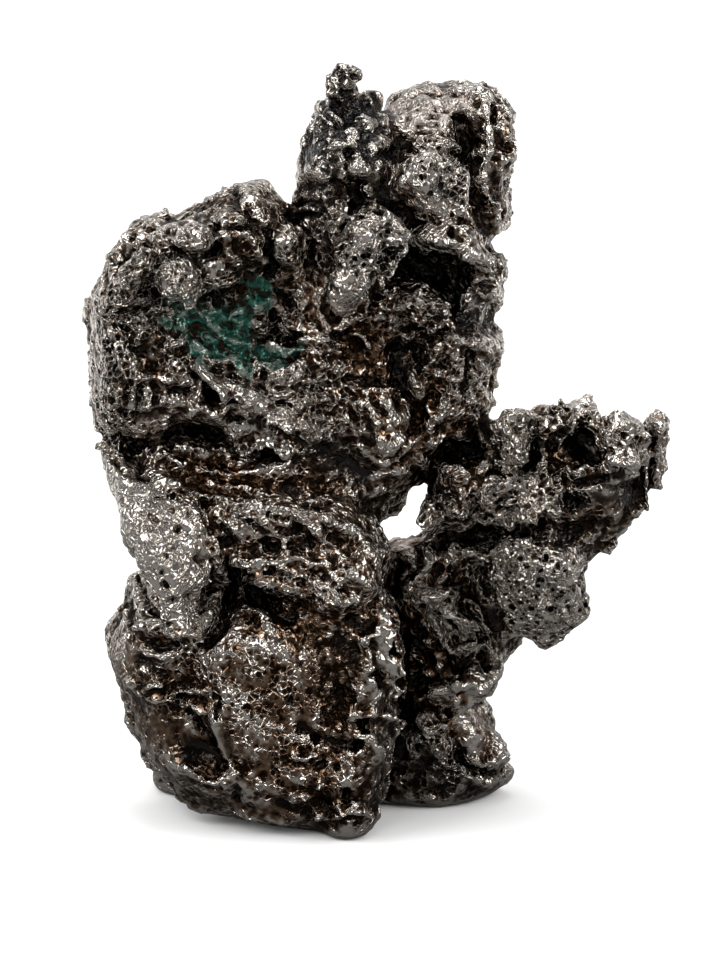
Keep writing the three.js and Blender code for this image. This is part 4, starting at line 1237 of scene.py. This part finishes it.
@dataclass
class Meteorite:
    """The stone's visible skin, computed from its solid."""

    node: bpy.types.Object
    box: tuple[Vector, Vector]
    finish: Finish = Finish()
    carving: Carving = Carving()
    chasing: Chasing = Chasing()
    weathering: Weathering = Weathering()
    painting: Painting = Painting()
    first_spacing: float = 0.42 * MM
    second_spacing: float = 0.25 * MM
    spacing: float = 0.19 * MM
    rounding: int = 10
    front_least: float = 0.25
    triangles: int = 192_000
    back_triangles: int = 62_000
    rim: float = 4.0 * MM
    foot_fade: Span = (0.2 * MM, 2.5 * MM)
    sway_seeds: tuple[int, int] = (11, 12)

    def build(self) -> bpy.types.Object:
        """Makes the skin in steps, each on a finer mesh: rounding, broad relief, fine relief, then crumb.

        Returns:
            The finished object.
        """
        skin = Skin.from_node(self.node)
        skin.remesh(self.first_spacing)
        skin.relax(self.rounding)
        self.carve(skin)
        skin.remesh(self.second_spacing)
        self.chase(skin)
        skin.remesh(self.spacing)
        self.weather(skin)
        front = skin.seen() > self.front_least
        back = np.flatnonzero(~front)
        share = back.size / front.size
        skin.thin(int(skin.triangles * (1 - share)) + self.back_triangles, back)
        skin.thin(self.triangles)
        skin.drop_scraps()
        self.settle(skin)
        self.paint(skin)
        skin.mesh.name = "meteorite_skin"
        stone = bpy.data.objects.new("meteorite_skin", skin.mesh)
        bpy.context.scene.collection.objects.link(stone)
        return stone

    def sheet_places(self, skin: Skin, reach: float, size: float) -> np.ndarray:
        """Places on the sheet, swayed a little so that drawn lines waver.

        Args:
            skin: the mesh.
            reach: how far they sway, in tenths of a millimetre.
            size: the sway's wavelength in millimetres.

        Returns:
            (n, 3) places.
        """
        points = skin.points
        places = on_sheet(points)
        sway = np.stack([Noise.cloud(points / MM, size, seed) for seed in self.sway_seeds], axis=1)
        places[:, :2] += sway * reach
        return places

    def lift(self, skin: Skin, height: np.ndarray) -> None:
        """Moves points out along their normals, less and less towards the ground, so that the feet stay flat.

        Args:
            skin: the mesh.
            height: (n,) millimetres.
        """
        points = skin.points
        standing = ramp(points[:, 2] - self.box[0][2], *self.foot_fade)
        skin.points = points + skin.normals * (height * standing)[:, None] * MM

    def carve(self, skin: Skin) -> None:
        """Gives the skin its broad relief.

        Args:
            skin: the evenly meshed solid.
        """
        c = self.carving
        points = skin.points / MM
        front = skin.seen()
        height = drawn(Relief.front(True), self.sheet_places(skin, *c.sway)) * c.drawn * front
        lumps = c.lumps.at(points + c.lump_bend.at(points)[:, None])
        broad = c.swells.at(points) + c.ridges.at(points)
        wild = c.wild_ridges.at(points) + c.wild_swells.at(points)
        wild += lumps * c.wild_lumps
        calm = np.clip(drawn(Relief.CALM, on_sheet(skin.points)), 0, 1)
        height = height + front * (broad * c.front_random + lumps * c.front_lumps) * (1 - c.calm * calm)
        height += (1 - front) * (broad + wild * c.back_wild)
        self.lift(skin, height)

    def chase(self, skin: Skin) -> None:
        """Gives the skin its fine relief.

        Args:
            skin: the carved skin on its second mesh.
        """
        c = self.chasing
        points = skin.points / MM
        front = skin.seen()
        places = self.sheet_places(skin, *c.sway)
        broken = np.clip(c.breaks_middle + c.breaks.at(points), *c.breaks_limits)
        lines = drawn(Relief.front(False), places) * broken * c.lines
        height = (lines + drawn(Relief.STREAKS, places)) * c.drawn * front
        calm = np.clip(drawn(Relief.SMOOTH + Relief.CALM, places) * front, 0, 1)
        bent = Noise.bend(points, *c.bend)
        crease = -ramp(c.creases.at(bent), *c.crease_span) * c.crease
        random = c.lumps.at(bent) + crease + c.knots.at(bent)
        height = height + random * (1 - c.calm * calm) * (c.back - c.front_less * front)
        self.lift(skin, height)

    def kinds(self, skin: Skin, places: np.ndarray, front: np.ndarray) -> tuple[np.ndarray, ...]:
        """How porous, wormy, beaded and smooth each point is: as drawn in front, in random patches behind.

        Args:
            skin: the mesh.
            places: its points on the sheet.
            front: how surely each point is seen from the front.

        Returns:
            Four arrays of numbers from 0 to 1.
        """
        p = self.painting
        points = skin.points / MM
        result = []
        for number, marks in enumerate((Relief.PORES, Relief.WORMS, Relief.BEADS, Relief.SMOOTH)):
            cloud = Noise.cloud(points, p.patch_size, p.patch_seed + number)
            patches = ramp(cloud, *p.patch_spans[number])
            result.append(np.clip(drawn(marks, places) * front + patches * (1 - front), 0, 1))
        return tuple(result)

    def weather(self, skin: Skin) -> None:
        """Gives the surface its crumb, worms, beads and pores.

        Args:
            skin: the chased skin on its finest mesh.
        """
        w = self.weathering
        points = skin.points / MM
        front = skin.seen()
        pored, wormed, beaded, smooth = self.kinds(skin, self.sheet_places(skin, *self.painting.sway), front)
        bent = Noise.bend(points, *w.bend)
        net = ramp(w.net.at(bent), *w.net_span) * w.net_height + w.fine_net.at(bent)
        worms = net * (w.worms[0] + w.worms[1] * wormed)
        beads = w.beads.at(bent) * (w.bead_height[0] + w.bead_height[1] * beaded)
        near, number = Noise.cells(points, w.pore_size, w.pore_seed)
        radius = w.radius + w.radius_random * number + w.radius_pored * pored
        chosen = ramp(number - w.fewer + w.more_pored * pored**2, *w.chosen_span)
        hole = ramp(near, radius * w.hole_span[0], radius * w.hole_span[1]) * chosen
        lip = np.exp(-(((near - radius * w.lip_radius) / w.lip_width) ** 2)) * chosen
        pores = (lip * w.lip - hole * w.hole) * (w.pores[0] + w.pores[1] * pored)
        calm = np.clip(drawn(Relief.CALM, on_sheet(skin.points)), 0, 1) * front
        height = w.crumb.at(points) + worms + beads + pores
        self.lift(skin, height * (1 - w.smooth * smooth) * (1 - w.calm * calm * (1 - beaded)))

    def settle(self, skin: Skin) -> None:
        """Stretches or squeezes the skin's outermost millimetres so that it ends at the solid's box.

        Args:
            skin: the finished shape.
        """
        points = skin.points
        for axis in range(3):
            for sign, limit in ((1.0, self.box[1][axis]), (-1.0, self.box[0][axis])):
                out = (points[:, axis] - limit) * sign
                squeezed = (out + self.rim) * self.rim / (out.max() + self.rim) - self.rim
                points[:, axis] = limit + sign * np.where(out > -self.rim, squeezed, out)
        skin.points = points

    def paint(self, skin: Skin) -> None:
        """Stores crests, hollows, painted patches and kinds of grain at the points, for the metal to read;
        these carry painted highlight and painted shade as well as wear, oxide and colour.

        Args:
            skin: the finished shape.
        """
        p = self.painting
        front = skin.seen()
        places = self.sheet_places(skin, *p.sway)
        lines = self.sheet_places(skin, *self.chasing.sway)
        # Crests and hollows of the mesh, which the metal reads as lighter and darker colour: partly polish
        # and oxide, partly painted highlight and painted shade.
        fine = p.middle + p.fine.of(skin)
        broad = p.middle + p.broad.of(skin) + p.medium.of(skin)
        # Wear and painted highlight on the lit forms, less the painted shade round them and in gaps.
        wear_and_painted_light = p.wear_and_light_middle + (drawn(Relief.RUBBED_AND_HIGHLIT, places) - drawn(Relief.PAINTED_SHADE, places)) * front * p.wear_and_painted_light
        self.store(skin.mesh, "shape", fine, broad, wear_and_painted_light)
        # The third of these is slate-dark metal and painted shade in the cave, crevices, under the ledge and
        # under the arm.
        rust, green, slate_and_shade_mask = (drawn(part, places) * front for part in (Relief.RUST, Relief.GREEN, Relief.SLATE_AND_PAINTED_SHADE))
        # Painted shade: the colour is darkened along the drawn grooves, the deeper the darker.
        relief = drawn(Relief.front(False) + Relief.front(True), lines)
        groove_shade = np.clip(-relief / p.groove_depth, 0, p.groove_darkest) * front
        satin = drawn(Relief.SATIN, places) * front
        self.store(skin.mesh, "paint", rust, green, np.maximum(slate_and_shade_mask, groove_shade), satin)
        self.store(skin.mesh, "kind", *self.kinds(skin, places, front))

    @staticmethod
    def store(mesh: bpy.types.Mesh, name: str, *channels: np.ndarray) -> None:
        """Writes three or four channels as one colour attribute.

        Args:
            mesh: where it is kept.
            name: the attribute's name.
            *channels: red, green, blue and perhaps alpha, clipped to 0 to 1.
        """
        attribute = mesh.color_attributes.new(name, "FLOAT_COLOR", "POINT")
        values = np.ones((len(mesh.vertices), 4))
        values[:, : len(channels)] = np.clip(np.stack(channels, axis=1), 0, 1)
        attribute.data.foreach_set("color", values.ravel())

    def dress(self, stone: bpy.types.Object) -> None:
        """Gives the skin its metal and puts it in the solid's place.

        Args:
            stone: the skin's object.
        """
        stone.data.materials.append(iron_material(self.finish))
        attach(stone, "root")
        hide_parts("meteorite")


class Side(Enum):
    """Where a light stands, as degrees round the stone from the viewer's right, and degrees up."""

    TOP = (90.0, 78.0)
    LEFT = (208.0, 35.0)
    RIGHT = (-26.0, 28.0)
    FRONT = (250.0, 40.0)


@dataclass(frozen=True)
class Softbox:
    """One square lamp: where it stands, metres from the stone, its side in metres, and watts."""

    side: Side
    distance: float
    size: float
    power: float

    def hang(self, aim: Vector) -> None:
        """Hangs the lamp so that it faces the stone.

        Args:
            aim: the stone's middle.
        """
        turn, up = (math.radians(value) for value in self.side.value)
        data = bpy.data.lights.new("softbox_" + self.side.name.lower(), "AREA")
        data.shape = "SQUARE"
        data.size = self.size
        data.energy = self.power
        body = bpy.data.objects.new(data.name, data)
        away = Vector((math.cos(turn) * math.cos(up), math.sin(turn) * math.cos(up), math.sin(up)))
        body.location = aim + away * self.distance
        body.rotation_euler = away.to_track_quat("Z", "Y").to_euler()
        bpy.context.scene.collection.objects.link(body)


@dataclass
class Studio:
    """The white table, the soft lights and the camera."""

    aim: Vector = field(default_factory=lambda: Vector((-1.64 * MM, -1.314 * MM, 35.06 * MM)))
    lamps: tuple[Softbox, ...] = (
        Softbox(Side.TOP, 0.5, 0.32, 1.3),
        Softbox(Side.LEFT, 0.45, 0.28, 1.2),
        Softbox(Side.RIGHT, 0.45, 0.26, 0.95),
        Softbox(Side.FRONT, 0.6, 0.20, 0.4),
    )
    distance: float = 1.5
    clip: Span = (0.05, 20.0)
    sensor: float = 36.0
    table_radius: float = 4.0
    table_sides: int = 64
    white: Colour = (0.9, 0.9, 0.9)
    mirrored_white: Colour = (0.14, 0.14, 0.14)
    bright_near: float = 0.04
    bright_far: float = 0.15
    turn_dark: float = 0.35
    turn_white: float = 0.95
    backdrop: float = 0.7
    dark_room: float = 0.07

    def camera(self) -> None:
        """Stands the camera 15 degrees up with a long lens that takes in the sheet's height."""
        data = bpy.data.cameras.new("camera")
        data.sensor_width = self.sensor
        data.lens = self.sensor * self.distance / (SHEET_HEIGHT * TENTH)
        data.clip_start, data.clip_end = self.clip
        body = bpy.data.objects.new("camera", data)
        towards = Vector(TOWARDS_VIEWER)
        body.location = self.aim + towards * self.distance
        body.rotation_euler = (-towards).to_track_quat("-Z", "Y").to_euler()
        bpy.context.scene.collection.objects.link(body)
        bpy.context.scene.camera = body

    def table(self) -> None:
        """Lays a white disc: points at equal angles on a circle. The metal mirrors it only near the stone."""
        angle = np.arange(self.table_sides) * 2 * math.pi / self.table_sides
        ring = np.stack((np.cos(angle), np.sin(angle), np.zeros_like(angle)), axis=1) * self.table_radius
        mesh = bpy.data.meshes.new("table")
        mesh.from_pydata(ring.tolist(), [], [list(range(self.table_sides))])
        material = bpy.data.materials.new("white_table")
        material.use_nodes = True
        n = Nodes(material.node_tree)
        place = n.add("TexCoord").outputs["Object"]
        behind = n.add("SeparateXYZ", {"Vector": place}).outputs["Y"]
        mirrored = n.add("LightPath").outputs["Is Glossy Ray"]
        shade = n.times(mirrored, n.between(behind, self.bright_far, self.bright_near))
        colour = n.blend(shade, self.white, self.mirrored_white)
        surface = n.add("BsdfDiffuse", {"Color": colour})
        n.add("OutputMaterial", {"Surface": surface.outputs[0]})
        mesh.materials.append(material)
        body = bpy.data.objects.new("table", mesh)
        bpy.context.scene.collection.objects.link(body)

    def sky(self) -> None:
        """Surrounds all with white; the metal mirrors it only behind the stone, and a dark room in front."""
        world = bpy.data.worlds.new("room")
        bpy.context.scene.world = world
        world.use_nodes = True
        n = Nodes(world.node_tree)
        direction = n.add("TexCoord").outputs["Generated"]
        backward = n.add("SeparateXYZ", {"Vector": direction}).outputs["Y"]
        behind = n.between(backward, self.turn_dark, self.turn_white)
        mirrored = n.times_plus(behind, self.backdrop, self.dark_room)
        seen = n.add("LightPath").outputs["Is Glossy Ray"]
        strength = n.add("Mix", {0: seen, 2: 1.0, 3: mirrored}, data_type="FLOAT").outputs[0]
        light = n.add("Background", {"Color": (1.0, 1.0, 1.0, 1.0), "Strength": strength})
        n.add("OutputWorld", {"Surface": light.outputs[0]})

    def build(self) -> None:
        """Sets up the camera, the table, the lamps and the room."""
        self.camera()
        self.table()
        for lamp in self.lamps:
            lamp.hang(self.aim)
        self.sky()
        view = bpy.context.scene.view_settings
        view.view_transform = "Standard"
        view.look = "None"


def main() -> None:
    """Loads the frame, sets up the studio, and builds and dresses the stone."""
    logging.basicConfig(level=logging.INFO, format="%(name)s: %(message)s")
    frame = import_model()
    Studio().build()
    stone = Meteorite(node=frame["nodes"]["meteorite"], box=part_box("meteorite"))
    skin = stone.build()
    stone.dress(skin)
    LOG.info("%s: %d points, %d faces", skin.name, len(skin.data.vertices), len(skin.data.polygons))


if __name__ == "__main__":
    main()
